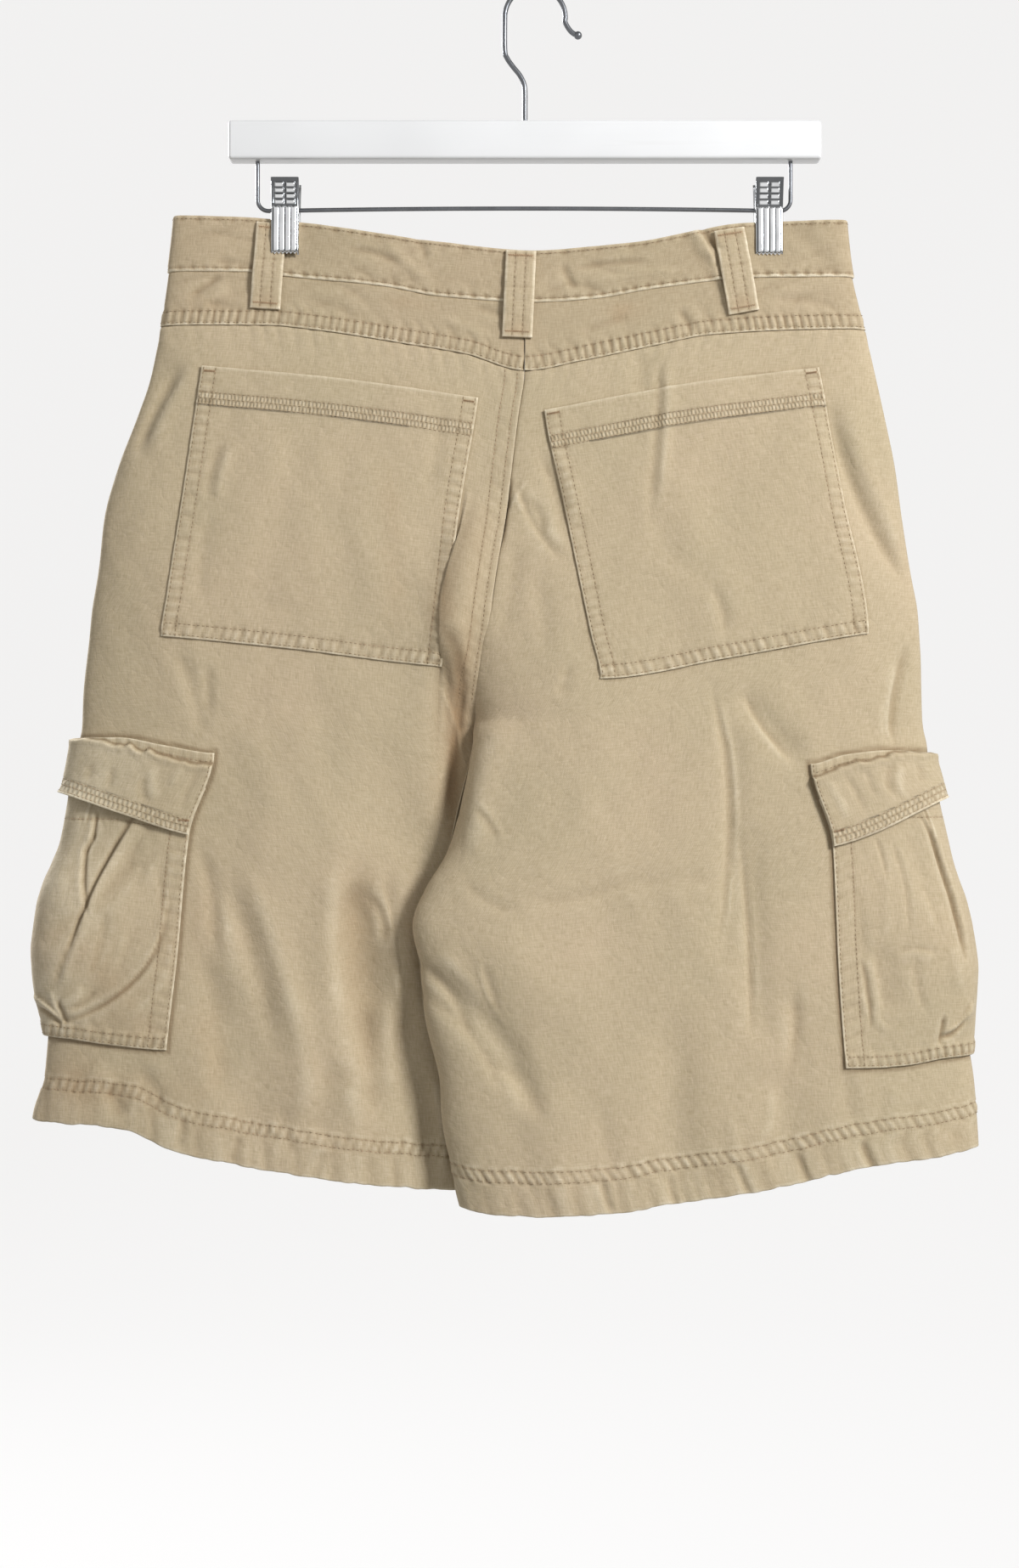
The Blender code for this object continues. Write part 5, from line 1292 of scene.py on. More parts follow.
# Faint marks, some of them painted shade in the left leg's valleys and beside the seat fold: x, drop,
# half-widths across and down, and how strong
STAINS_AND_SHADE = (
    (-84, 203, 9, 4, 0.30),
    (-70, 205, 7, 3, 0.2),
    (54, 210, 8, 6, 0.38),
    (62, 206, 12, 5, 0.2),
    (-92, 336, 7, 24, 0.2),
    (-88, 388, 9, 22, 0.18),
    (-64, 400, 6, 22, 0.2),
    (-211, 596, 9, 34, 0.20),
    (-250, 706, 40, 14, 0.22),
    (-200, 726, 30, 9, 0.16),
    (-290, 700, 22, 18, 0.36),
    (-300, 736, 34, 9, 0.30),
    (-262, 664, 34, 10, 0.24),
    # The next six are painted shade in the left leg's valleys and beside the seat fold, the first of them
    # also a real brown stain
    (-207, 676, 9, 26, 0.24),
    (-104, 664, 10, 40, 0.2),
    (-112, 596, 10, 28, 0.18),
    (-90, 660, 6, 40, 0.12),
    (-52, 500, 7, 50, 0.24),
    (-56, 400, 6, 26, 0.2),
    (-302, 612, 16, 20, 0.26),
    (-278, 622, 14, 20, 0.24),
    (-262, 640, 14, 14, 0.2),
    (-232, 612, 8, 22, 0.16),
    (-118, 610, 20, 40, 0.12),
    (-110, 738, 30, 8, 0.14),
    (262, 736, 18, 6, 0.12),
    (262, 604, 14, 20, 0.10),
    (-214, 203, 14, 6, 0.16),
)


def yoke(side):
    """Half of the back yoke, whose folded foot lies over the panels below."""
    t = np.tile(steps(169, 230), (33, 1))
    top = line_drop(BAND_BOTTOM, side, BACK, t[0], 195) - TUCK_UNDER
    foot = line_drop(YOKE_BOTTOM, side, BACK, t[0], 230)
    drop = top + (foot - top) * steps(31, 40)[:, None]
    shift = np.array((side * SEAM_GAP / 2, BACK * SEAM_GAP / 2, 0))
    follow = drape(side, BACK, t, drop)

    def place(lift):
        return skin(side, BACK, t, drop, lift + follow - CLOTH) + shift

    cut = Cut(place, t.shape)
    cut.relief_wear_and_shade(follow)
    cut.lift -= 1.1 * ease(TUCK_UNDER + 0.6, TUCK_UNDER - 0.8, cut.off["top"])
    # Painted shadow under the waistband's foot, and the whole yoke painted darker as shade
    cut.wear_and_shade -= 0.15 * bell(cut.off["top"] - TUCK_UNDER - 0.3, 0.9)
    cut.wear_and_shade -= 0.26
    cut.lift += 0.55 * ease(12, 7, cut.off["foot"])
    cut.seam("foot", (1.7, 9.2), ribs=0.56, pitch=5.2, slant=0.25, pale=0.85)
    cut.roll("right")
    if side == RIGHT:
        cut.lift += 0.5 * bell(cut.off["left"], 2.0)
        cut.wear_and_shade += 0.4 * bell(cut.off["left"], 0.9)
    else:
        # Painted shadow beside the centre seam, where the right half laps over
        cut.lift -= 0.5 * bell(cut.off["left"], 1.6)
        cut.wear_and_shade -= 0.45 * bell(cut.off["left"], 1.0)
    cut.spots()
    sew(cut, "yoke_" + WORD[side])


def waistband():
    """One ring of doubled cloth, topstitched along both edges."""
    stretches = ((LEFT, BACK, True), (RIGHT, BACK, False), (RIGHT, FRONT, True), (LEFT, FRONT, False))
    rows, parts = 31, []
    for side, face, inwards in stretches:
        t = np.linspace(0, 1, 141 if face == BACK else 121)
        t = np.tile(1 - (1 - t) ** 1.15, (rows, 1))
        top = line_drop(WAIST_TOP, side, face, t[0], 155)
        foot = line_drop(BAND_BOTTOM, side, face, t[0], 195)
        drop = top + (foot - top) * steps(rows - 2, 36)[:, None]
        order = slice(None, 0, -1) if inwards else slice(None, -1)
        t, drop = t[:, order], drop[:, order]
        parts.append((side, face, t, drop, drape(side, face, t, drop)))
    widths = [part[2].shape[1] for part in parts]
    ends = np.cumsum(widths)

    def place(lift):
        found = []
        for (side, face, t, drop, follow), end, width in zip(parts, ends, widths):
            own = lift[:, end - width : end]
            found.append(skin(side, face, t, drop, own + follow + BAND_PROUD - DOUBLE_CLOTH))
        return np.concatenate(found, axis=1)

    cut = Cut(place, (rows, int(ends[-1])), wall=DOUBLE_CLOTH, ring=True)
    cut.relief_wear_and_shade(np.concatenate([part[4] for part in parts], axis=1))
    # The whole band is painted darker as shade
    cut.wear_and_shade -= 0.28
    cut.seam("top", (2.2,), ribs=0.34, pitch=9.5, slant=0.2, pale=0.45)
    cut.seam("foot", (2.4,), ribs=0.45, pitch=8.0, slant=0.2, pale=0.95)
    cut.wear_and_shade += 0.3 * bell(cut.off["foot"] - 0.6, 0.8)
    cut.spots()
    sew(cut, "waistband")


def back_pocket(side):
    """A patch pocket, open along its deep stitched band and puckered along its sewn edges."""
    u = steps(123, 155)
    v = steps(115, 175)[:, None]
    drop = np.full((len(v), len(u)), 330.0)
    for _ in range(6):
        inner, outer = back_edge(side, "inner", drop), back_edge(side, "outer", drop)
        x = inner + (outer - inner) * u
        top = drop_on(POCKET_TOP[side], x)
        drop = top + (drop_on(POCKET_FOOT[side], x) - top) * v
    t = share_at_x(side, x, drop)
    follow = drape(side, BACK, t, drop)
    base = LAID_GAP + POCKET_SLACK * np.sin(math.pi * u) * np.sqrt(1 - v)

    def place(lift):
        return skin(side, BACK, t, drop, lift + follow + base)

    cut = Cut(place, t.shape)
    cut.relief_wear_and_shade(follow)
    cut.wall = CLOTH + 0.7 * ease(POCKET_BAND + 1, POCKET_BAND - 1, cut.off["top"])
    for edge in ("left", "right"):
        cut.seam(edge, (1.7, 9.4), ribs=0.26, pitch=6.6, slant=0.1, pale=0.55)
    cut.seam("foot", (1.7, 8.6), ribs=0.45, pitch=6.2, slant=0.3, pale=0.75)
    cut.seam("top", POCKET_BAND_ROWS, ribs=0.16, pitch=5.2, pale=0.45, beads=1.0)
    cut.lift += 0.25 * bell(cut.off["top"], 1.6)
    cut.spots()
    sew(cut, "back_pocket_" + WORD[side])
    for edge in ("left", "right"):
        bar_tack(cut, edge, (2.2, 9.0), 3.2)


def bar_tack(cut, edge, reach, level):
    """A short dense zigzag across the cloth, from one offset to another at a distance down the piece."""
    outer, inner = cut.surfaces()
    off, down = cut.off[edge], cut.off["top"]
    points = []
    for k in range(TACK_TURNS + 1):
        want = reach[0] + (reach[1] - reach[0]) * k / TACK_TURNS
        depth = level + (TACK_HALF if k % 2 else -TACK_HALF)
        near = np.abs(off - want) + np.abs(down - depth)
        i, j = np.unravel_index(np.argmin(near), near.shape)
        cell = outer[i, j] + nudge_in(outer, off, down, i, j, want, depth)
        away = outer[i, j] - inner[i, j]
        points.append(cell + away / np.linalg.norm(away) * TACK_PROUD)
    TACK_ROWS.append(np.array(points))


def nudge_in(outer, off, down, i, j, want, depth):
    """From a grid point to a place close by, by the grid's own slopes."""
    i2, j2 = min(i + 1, off.shape[0] - 1), min(j + 1, off.shape[1] - 1)
    i1, j1 = i2 - 1, j2 - 1
    over = outer[i, j2] - outer[i, j1]
    under = outer[i2, j] - outer[i1, j]
    grow = off[i, j2] - off[i, j1]
    sink = down[i2, j] - down[i1, j]
    return over * (want - off[i, j]) / (grow or 1) + under * (depth - down[i, j]) / (sink or 1)


def wrapped(side, top_line, foot_line, v):
    """Places round the side seam, from the cargo pocket's back edge to its front one."""
    found = []
    for face in (BACK, FRONT):
        w = steps(99, 93)[:-1] if face == BACK else steps(60, 93)[:-1][::-1]
        w = np.tile(1 - (1 - w) ** 1.6, (len(v), 1))
        drop = np.full(w.shape, 580.0)
        for _ in range(6):
            if face == BACK:
                edge = share_at_x(side, back_edge(side, "outer", drop), drop)
            else:
                edge = smooth(front_cargo_edge(side), "drop", "share", drop)
            t = edge + (1 - edge) * w
            x = x_at_share(side, t, drop)
            top = drop_on(top_line, x)
            drop = top + (drop_on(foot_line, x) - top) * v
        found.append((face, t, drop, drape(side, face, t, drop)))
    seam_column = found[0][1].shape[1]

    def place(lift):
        halves = (lift[:, :seam_column], lift[:, seam_column:])
        made = [skin(side, face, t, d, own + f) for (face, t, d, f), own in zip(found, halves)]
        return np.concatenate(made, axis=1)

    drops = np.concatenate([row[2] for row in found], axis=1)
    return place, drops, seam_column


def pouch_lift(side, cut, drops, down, seam_column):
    """How far the pocket's cloth stands off the leg, with its pleats and hanging folds."""
    from_edge = np.minimum(cut.off["left"], cut.off["right"])
    bulge = smooth(CARGO_SWELL, "down", WORD[side], down) * ease(0, CARGO_RISE, from_edge)
    arcs = cut.off["left"][:, seam_column : seam_column + 1] - cut.off["left"]
    folds = relief(CARGO_FOLDS[side], arcs, drops) * ease(0, 20, from_edge) * ease(1.0, 0.85, down)
    fine = relief(CARGO_CREASES[side], cut.off["left"], drops) * ease(0, 6, from_edge)
    proud = np.maximum(bulge + folds, 0)
    return proud + np.maximum(fine, -0.9 * proud) * ease(1.02, 0.95, down)


def cargo_pocket(side):
    """The pleated pouch that wraps the side seam, its mouth under the flap and its foot stitched down."""
    v = MOUTH_SHARE + (1 - MOUTH_SHARE) * steps(135, 180)[:, None]
    place, drops, seam_column = wrapped(side, FLAP_TOP[side], CARGO_FOOT[side], v)
    cut = Cut(place, drops.shape)
    down = -SWELL_START + (1 + SWELL_START) * v
    cut.lift += LAID_GAP + pouch_lift(side, cut, drops, down, seam_column)
    cut.lift += 0.45 * rumple(0.6 * drops, cut.off["left"], 3.0 + side) * ease(2, 14, cut.off["left"])
    cut.relief_wear_and_shade(gain=0.78, crest=0.22)
    cut.wall = CLOTH + 0.6 * ease(9.5, 8.5, cut.off["foot"])
    for edge in ("left", "right"):
        cut.seam(edge, (1.7, 12.0), ribs=0.16, pitch=8.5, slant=0.1, pale=0.75)
    cut.seam("foot", (1.6, 7.2), ribs=0.45, pitch=5.6, slant=0.2, pale=0.7)
    cut.seam("top", (MOUTH_ROW[side],), ribs=0.15, pitch=6.0, pale=0.2)
    # Painted light: away from its back edge the left pouch is painted paler, where it turns from the lamp
    if side == LEFT:
        cut.wear_and_shade += 0.3 * ease(30, 80, cut.off["left"])
    past_pleat = cut.off["left"] - PLEAT_X[side]
    pleat = bell(past_pleat, 0.9) * ease(33, 29, cut.off["top"])
    # Painted shade in the pleat's fold, and a pale lip beside it, worn and lit
    cut.lift -= 0.5 * pleat
    cut.wear_and_shade -= 0.5 * pleat
    cut.wear_and_shade += 0.6 * bell(past_pleat - 1.6, 0.8) * ease(33, 29, cut.off["top"])
    cut.spots()
    sew(cut, "cargo_pocket_" + WORD[side])


# Creases of the flaps, in mm from the flap's back edge and drop
FLAP_CREASES = {
    LEFT: creases(
        (39, 506, 30, 523, 1, 2.4, -0.8, 0),
        (36, 500, 26, 520, 1, 3, 0.7, 0),
        (7, 500, 9, 526, 1, 2.4, -0.8, 0),
        (18, 498, 21, 512, 0, 2.6, 0.7, 0),
        (60, 500, 56, 514, 0, 2.4, -0.7, 0),
        (74, 498, 70, 508, 0, 2.6, -0.7, 0),
    ),
    RIGHT: creases(
        (53, 497, 44, 518, -2, 2.8, -1, 0),
        (58, 499, 50, 519, -2, 3.4, 0.8, 0),
        (20, 504, 24, 528, 1, 2.6, -0.7, 0),
        (8, 506, 12, 534, 1, 3, 0.6, 0),
        (34, 502, 34, 520, 0, 2.6, -0.6, 0),
        (70, 498, 66, 510, 0, 2.6, -0.7, 0),
    ),
}


def cargo_flap(side):
    """The doubled flap: a strip sewn to the leg, then the cloth turned over it and down over the pouch."""
    v = np.concatenate(([0, 0.006], np.linspace(0, 1, 51)[1:-1] ** 1.25, [0.994, 1]))[:, None]
    place, drops, _ = wrapped(side, FLAP_TOP[side], FLAP_FOOT[side], v)
    cut = Cut(place, drops.shape, wall=DOUBLE_CLOTH)
    down = -SWELL_START + (SWELL_START + FLAP_SHARE) * v
    from_edge = np.minimum(cut.off["left"], cut.off["right"])
    swell = smooth(CARGO_SWELL, "down", WORD[side], down) * ease(0, CARGO_RISE, from_edge)
    over = LAID_GAP + swell + CLOTH + FLAP_CLEAR + 0.6
    depth = smooth(FLAP_TURN[side], "x", "depth", cut.off["left"])
    depth = depth + 0.35 * uneven(cut.run["top"], 11.0, 2.0 + side)
    beyond = cut.off["top"] - depth
    rolled = ease(-0.7, 0.9, beyond)
    hump = 0.7 * bell(beyond - 1.8, 2.4) * rolled
    cut.lift += LAID_GAP + rolled * (over - LAID_GAP + hump)
    crumpled = relief(FLAP_CREASES[side], cut.off["left"], drops)
    crumpled = crumpled + 0.5 * rumple(0.7 * drops, cut.off["left"], 6.0 + side)
    cut.lift += np.maximum(crumpled, -0.9) * ease(2.0, 6.0, beyond)
    # Crease ridges are painted pale, as worn and lit, and their troughs dark as painted shade
    cut.wear_and_shade += 0.35 * crumpled * ease(2.0, 6.0, beyond)
    # Painted shadow under the turned-over fold, with a faint pale worn line on the fold
    cut.wear_and_shade += 0.1 * bell(beyond - 0.6, 0.8) - 1.3 * bell(beyond + 0.9, 0.9)
    cut.seam("top", (5.6,), ribs=0.12, pitch=5.0, pale=0.0, part=(0.02, 0.2))
    cut.seam("foot", FLAP_ROWS, ribs=0.16, pitch=5.2, pale=0.75, beads=1.0, grain=0.78)
    for edge in ("left", "right"):
        cut.seam(edge, (1.6,), ribs=0.10, pitch=8.0, pale=0.7)
    puckers = 0.22 * uneven(cut.run["top"], 7.5, 5.0) * ease(1.5, -1.5, beyond)
    cut.lift += puckers
    # Puckers painted light and dark with their relief, and a pale worn top edge
    cut.wear_and_shade += puckers + 0.5 * bell(cut.off["top"], 0.9)
    if side == LEFT:
        # Painted light on the left flap, paler away from its back edge
        cut.wear_and_shade += 0.32 * ease(10, 70, cut.off["left"])
    cut.spots()
    sew(cut, "cargo_flap_" + WORD[side])
    bar_tack(cut, "left", (1.6, 8.2), cut.off["top"][-1, 0] - 9.4)
    bar_tack(cut, "right", (1.6, 8.2), 36.0)


LOOPS = {
    "belt_loop_back_left": (BACK, -168.8, 151.3, -172.6, 207.2),
    "belt_loop_back_centre": (BACK, -9.0, 169.6, -11.6, 225.8),
    "belt_loop_back_right": (BACK, 124.0, 155.5, 133.4, 209.6),
    "belt_loop_front_left": (FRONT, -118.0, 166.5, -119.0, 215.0),
    "belt_loop_front_right": (FRONT, 90.0, 169.5, 92.0, 215.0),
}


def belt_loop(name, face, top_x, top_drop, foot_x, foot_drop):
    """A folded strip, tacked down at both ends, with two lines of stitching along it."""
    share = steps(57, 56)[:, None]
    u = steps(23, LOOP_WIDTH)[None, :]
    middle = top_x + (foot_x - top_x) * share
    tilt = (foot_x - top_x) / (foot_drop - top_drop)
    x = middle + LOOP_WIDTH * (u - 0.5)
    drop = top_drop + (foot_drop - top_drop) * share - tilt * LOOP_WIDTH * (u - 0.5)
    right_half = x > centre_x(drop)
    lift = (BAND_PROUD + LAID_GAP + LOOP_SLACK * np.sin(math.pi * share)) * ease(1.0, 0.75, share)
    lift = lift + 0.75 * ease(0.75, 1.0, share)

    def place(extra):
        whole = lift + extra
        found = []
        for side in (LEFT, RIGHT):
            t = share_at_x(side, x, drop)
            found.append(skin(side, face, t, drop, whole + 0.6 * drape(side, face, t, drop)))
        return np.where(right_half[..., None], found[1], found[0])

    cut = Cut(place, x.shape, wall=LOOP_WALL)
    for edge in ("left", "right"):
        cut.lift -= 0.35 * bell(cut.off[edge], 1.1)
        cut.seam(edge, (LOOP_WIDTH / 3,), ribs=0.14, pitch=5.0, pale=0.7)
    cut.lift += 0.3 * uneven(cut.run["left"] + 0.4 * cut.off["left"], 15.0, foot_x / 20)
    cut.wear_and_shade += 0.7 * bell(cut.off["foot"], 1.1) + 0.55 * bell(cut.off["top"], 1.0)
    cut.lift -= 0.3 * bell(cut.off["top"] - 24, 2.0)
    # Painted shade in the crease across the loop
    cut.wear_and_shade -= 0.25 * bell(cut.off["top"] - 24, 1.2)
    cut.stain_and_shade += 0.3 * bell(cut.off["foot"] - 6, 5.0) * bell(cut.off["left"] - LOOP_WIDTH / 2, 7.0)
    cut.stain_and_shade += 0.25 * bell(cut.off["top"] - 4, 2.4)
    sew(cut, name)
    for level in (3.4, cut.off["top"].max() - 3.6):
        bar_tack(cut, "left", (2.0, LOOP_WIDTH - 2.0), level)


def fly():
    """The shaped facing over the closure, stitched round its curved edge."""
    share = steps(79, 170)[:, None]
    u = steps(31, FLY_WIDTH)[None, :]
    round_off = np.clip((share - 0.7) / 0.3, 0, 0.96)
    reach = FLY_WIDTH * np.sqrt(1 - round_off**2)
    band_foot = BAND_BOTTOM["drop"].max()
    inner_edge = centre_x(band_foot + (FLY_DROP - band_foot) * share) - LAID_GAP
    x = inner_edge - reach * u
    top = drop_on(BAND_BOTTOM, x) + front_dip(x) - 1.0
    drop = top + (FLY_DROP - top) * share
    t = share_at_x(LEFT, x, drop)
    follow = drape(LEFT, FRONT, t, drop)

    def place(lift):
        return skin(LEFT, FRONT, t, drop, lift + follow + LAID_GAP)

    cut = Cut(place, x.shape)
    cut.lift -= 1.6 * ease(2.6, 0.8, cut.off["top"])
    cut.seam("right", (2.0, 8.0), ribs=0.16, pitch=7.0, pale=0.5)
    cut.wear_and_shade += 0.4 * bell(cut.off["left"], 0.9)
    sew(cut, "fly")


for side in (LEFT, RIGHT):
    leg_panel(side, BACK)
    leg_panel(side, FRONT)
    yoke(side)
    back_pocket(side)
    cargo_pocket(side)
    cargo_flap(side)
waistband()
for name, sizes in LOOPS.items():
    belt_loop(name, *sizes)
fly()

# ------------------------------------------------------------------ sewing


def tube(name, paths, radii, sides, material):
    """Round wires or threads along lists of points in mm, joined in one mesh."""
    points, faces = [], []
    for path, radius in zip(paths, radii):
        path = np.asarray(path, float)
        radius = np.broadcast_to(radius, len(path))
        ahead = np.gradient(path, axis=0)
        ahead /= np.linalg.norm(ahead, axis=1, keepdims=True)
        up = np.array((0.0, 1.0, 0.0)) if abs(ahead[0][1]) < 0.9 else np.array((1.0, 0.0, 0.0))
        start = len(points)
        for i, (centre, along) in enumerate(zip(path, ahead)):
            up = up - along * np.dot(up, along)
            up /= np.linalg.norm(up)
            other = np.cross(along, up)
            for k in range(sides):
                a = TURN * k / sides
                points.append(centre + radius[i] * (math.cos(a) * up + math.sin(a) * other))
        for i in range(len(path) - 1):
            for k in range(sides):
                a, b = start + i * sides + k, start + i * sides + (k + 1) % sides
                faces.append((a, b, b + sides, a + sides))
        last = start + (len(path) - 1) * sides
        faces.append(tuple(range(start + sides - 1, start - 1, -1)))
        faces.append(tuple(range(last, last + sides)))
    return piece(name, meshed(name, points, faces, 60), material)


# Length of a stitch, the gap after it, and the thickness of its thread and of a tack's
STITCH, STITCH_GAP, STITCH_THICK = 2.2, 0.8, 0.56
TACK_RADIUS = 0.26


def stitch_tree():
    """Geometry Nodes that lay one grain of thread at each step along the seams' rows."""
    tree = bpy.data.node_groups.new("sew_rows", "GeometryNodeTree")
    n = Nodes(tree)
    tree.interface.new_socket("Geometry", in_out="OUTPUT", socket_type="NodeSocketGeometry")
    wanted = {"Geometry": "Geometry", "Stitch": "Float", "Gap": "Float", "Thickness": "Float"}
    wanted |= {"Seed": "Int", "Thread": "Material"}
    for title, kind in wanted.items():
        tree.interface.new_socket(title, in_out="INPUT", socket_type="NodeSocket" + kind)
    source = tree.nodes.new("NodeGroupInput").outputs
    sink = tree.nodes.new("NodeGroupOutput").inputs
    step = n.add("ShaderNodeMath", (0, source["Stitch"]), (1, source["Gap"]), operation="ADD")
    line = n.add("GeometryNodeMeshToCurve", ("Mesh", source["Geometry"]))
    spaced = tree.nodes.new("GeometryNodeResampleCurve")
    mode = spaced.inputs.get("Mode")
    if mode is not None:
        mode.default_value = "Length"
    else:
        spaced.mode = "LENGTH"
    tree.links.new(line, spaced.inputs["Curve"])
    tree.links.new(step, spaced.inputs["Length"])
    out = n.add("GeometryNodeInputNamedAttribute", ("Name", "out"), data_type="FLOAT_VECTOR")
    ahead = n.add("GeometryNodeInputTangent")
    turn = n.add("FunctionNodeAlignRotationToVector", ("Vector", ahead), axis="X")
    upright = {"axis": "Z", "pivot_axis": "X"}
    turn = n.add("FunctionNodeAlignRotationToVector", ("Rotation", turn), ("Vector", out), **upright)
    grain = n.add("GeometryNodeMeshIcoSphere", ("Radius", 0.5), ("Subdivisions", 1))
    low, high = (0.9, 0.9, 0.9), (1.08, 1.1, 1.05)
    vary = n.add(
        "FunctionNodeRandomValue",
        (0, low),
        (1, high),
        ("Seed", source["Seed"]),
        data_type="FLOAT_VECTOR",
    )
    thick = source["Thickness"]
    size = n.add("ShaderNodeCombineXYZ", (0, source["Stitch"]), (1, thick), (2, thick))
    size = n.add("ShaderNodeVectorMath", (0, size), (1, vary), operation="MULTIPLY")
    grains = n.add(
        "GeometryNodeInstanceOnPoints",
        ("Points", spaced.outputs[0]),
        ("Instance", grain),
        ("Rotation", turn),
        ("Scale", size),
    )
    solid = n.add("GeometryNodeRealizeInstances", (0, grains))
    solid = n.add("GeometryNodeSetMaterial", ("Geometry", solid), ("Material", source["Thread"]))
    tree.links.new(solid, sink[0])
    return tree


def topstitching():
    """Every row of stitching on the garment as one mesh of threads."""
    points, edges, out = [], [], []
    for row, normals in THREAD_ROWS:
        if len(row) < 3:
            continue
        first = len(points)
        points.extend((row + 0.02 * normals) * MM)
        out.extend(normals)
        edges.extend((i, i + 1) for i in range(first, len(points) - 1))
    mesh = bpy.data.meshes.new("rows")
    mesh.from_pydata([tuple(p) for p in points], edges, [])
    layer = mesh.attributes.new("out", "FLOAT_VECTOR", "POINT")
    layer.data.foreach_set("vector", np.array(out, np.float32).ravel())
    guide = bpy.data.objects.new("rows", mesh)
    bpy.context.scene.collection.objects.link(guide)
    sewing = guide.modifiers.new("sew_rows", "NODES")
    sewing.node_group = stitch_tree()
    sizes = {"Stitch": STITCH * MM, "Gap": STITCH_GAP * MM, "Thickness": STITCH_THICK * MM}
    sizes |= {"Seed": 7, "Thread": TAN_THREAD}
    for item in sewing.node_group.interface.items_tree:
        if item.in_out == "INPUT" and item.name in sizes:
            sewing[item.identifier] = sizes[item.name]
    ready = guide.evaluated_get(bpy.context.evaluated_depsgraph_get())
    made = bpy.data.meshes.new_from_object(ready)
    guide.modifiers.clear()
    bpy.data.objects.remove(guide)
    made.shade_smooth()
    piece("topstitching", made, TAN_THREAD)


topstitching()
tube("bar_tacks", TACK_ROWS, [TACK_RADIUS] * len(TACK_ROWS), 5, RUST_THREAD)

# ------------------------------------------------------------------ button

BUTTON_X, BUTTON_DROP = -7.0, 196.0
BUTTON_RADIUS, BUTTON_THICK = 9.0, 3.0
BUTTON_EYE, BUTTON_THREAD = 1.9, 0.45
BUTTON_PROFILE = table(
    "out up",
    (0, 0), (0.8, 0), (0.94, 0.12), (1, 0.42), (1, 0.7), (0.96, 0.9), (0.88, 1), (0.78, 0.97),
    (0.68, 0.8), (0.58, 0.72), (0, 0.7),
)


def button():
    """A turned button with a raised rim, four eyes and crossed thread."""
    t = share_at_x(LEFT, np.array(BUTTON_X), np.array(BUTTON_DROP))
    seat = skin(LEFT, FRONT, t, np.array(BUTTON_DROP), np.array(BAND_PROUD + LAID_GAP))
    profile = zip(BUTTON_PROFILE["out"] * BUTTON_RADIUS, BUTTON_PROFILE["up"] * BUTTON_THICK)
    points, faces = lathe(profile, 48)
    points = points[:, (0, 2, 1)] * (1, 1, -1) + seat
    made = piece("button_turned", meshed("button_turned", points, faces), HORN)
    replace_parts(made, "button")
    high = seat[1] + BUTTON_THICK * BUTTON_PROFILE["up"][-1] + 0.25
    paths = []
    for a, b in (((-1, -1), (1, 1)), ((-1, 1), (1, -1))):
        bow = np.linspace(0, 1, 9)
        x = seat[0] + BUTTON_EYE * (a[0] + (b[0] - a[0]) * bow)
        z = seat[2] + BUTTON_EYE * (a[1] + (b[1] - a[1]) * bow)
        paths.append(np.stack((x, high + 0.35 * np.sin(math.pi * bow), z), axis=1))
    tube("button_thread", paths, [BUTTON_THREAD] * 2, 6, TAN_THREAD)


button()

# ------------------------------------------------------------------ hanger

BAR_LENGTH, BAR_HEIGHT, BAR_THICK = 380.0, 25.0, 14.0
BAR_CENTRE_X, BAR_TOP_DROP = -6.5, 85.5
BAR_EDGE = 2.2
HOOK_WIRE, HOOK_INNER, HOOK_BALL = 1.65, 17.8, 2.6
CURVE_STEPS = 5
ROD_RADIUS, ROD_DROP, ROD_BOW, ROD_BEND = 1.35, 142.3, 1.6, 7.0
ROD_LEFT_X, ROD_RIGHT_X = -178.3, 164.3
HOOK_STEM = seam_line(
    (-6.5, 86.5), (-6.5, 76), (-6.5, 66), (-7.2, 60.4), (-9.8, 55), (-14.2, 49.5), (-18, 44),
    (-19.45, 38.5),
)
HOOK_TIP = seam_line((20.8, 23.8), (23.2, 27), (25.6, 28.7), (27.6, 29.4))


def hanger_bar():
    """The wooden bar with rounded edges."""
    shape = bmesh.new()
    bmesh.ops.create_cube(shape, size=1.0)
    for vertex in shape.verts:
        x, y, z = vertex.co
        drop = BAR_TOP_DROP + BAR_HEIGHT * (0.5 - z)
        vertex.co = ((BAR_CENTRE_X + BAR_LENGTH * x) * MM, BAR_THICK * y * MM, -drop * MM)
    rounding = {"offset": BAR_EDGE * MM, "segments": 5, "profile": 0.5, "affect": "EDGES"}
    bmesh.ops.bevel(shape, geom=shape.edges[:], **rounding)
    mesh = finished("hanger_bar_painted", shape, 25)
    made = piece("hanger_bar_painted", mesh, PAINT)
    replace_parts(made, "hanger_bar")


def rounded(path):
    """A smooth curve through the points of a path."""
    path = np.array(path, float)
    ends = np.concatenate((path[:1] * 2 - path[1:2], path, path[-1:] * 2 - path[-2:-1]))
    found = []
    for p0, p1, p2, p3 in zip(ends, ends[1:], ends[2:], ends[3:]):
        for f in np.arange(CURVE_STEPS) / CURVE_STEPS:
            square, cube = 2 * p0 - 5 * p1 + 4 * p2 - p3, 3 * p1 - p0 - 3 * p2 + p3
            found.append(p1 + ((p2 - p0) * f + square * f**2 + cube * f**3) / 2)
    found.append(path[-1])
    return np.array(found)


def in_plane(points):
    """Points (x, drop) in the hanger's plane as points in space."""
    points = np.array(points)
    return np.stack((points[:, 0], np.zeros(len(points)), -points[:, 1]), axis=1)


def arc(centre, radius, start, end, count):
    """Points (x, drop) round a centre, from one angle in degrees to another."""
    angles = np.radians(np.linspace(start, end, count + 1))
    return [(centre[0] + radius * math.cos(a), centre[1] - radius * math.sin(a)) for a in angles]


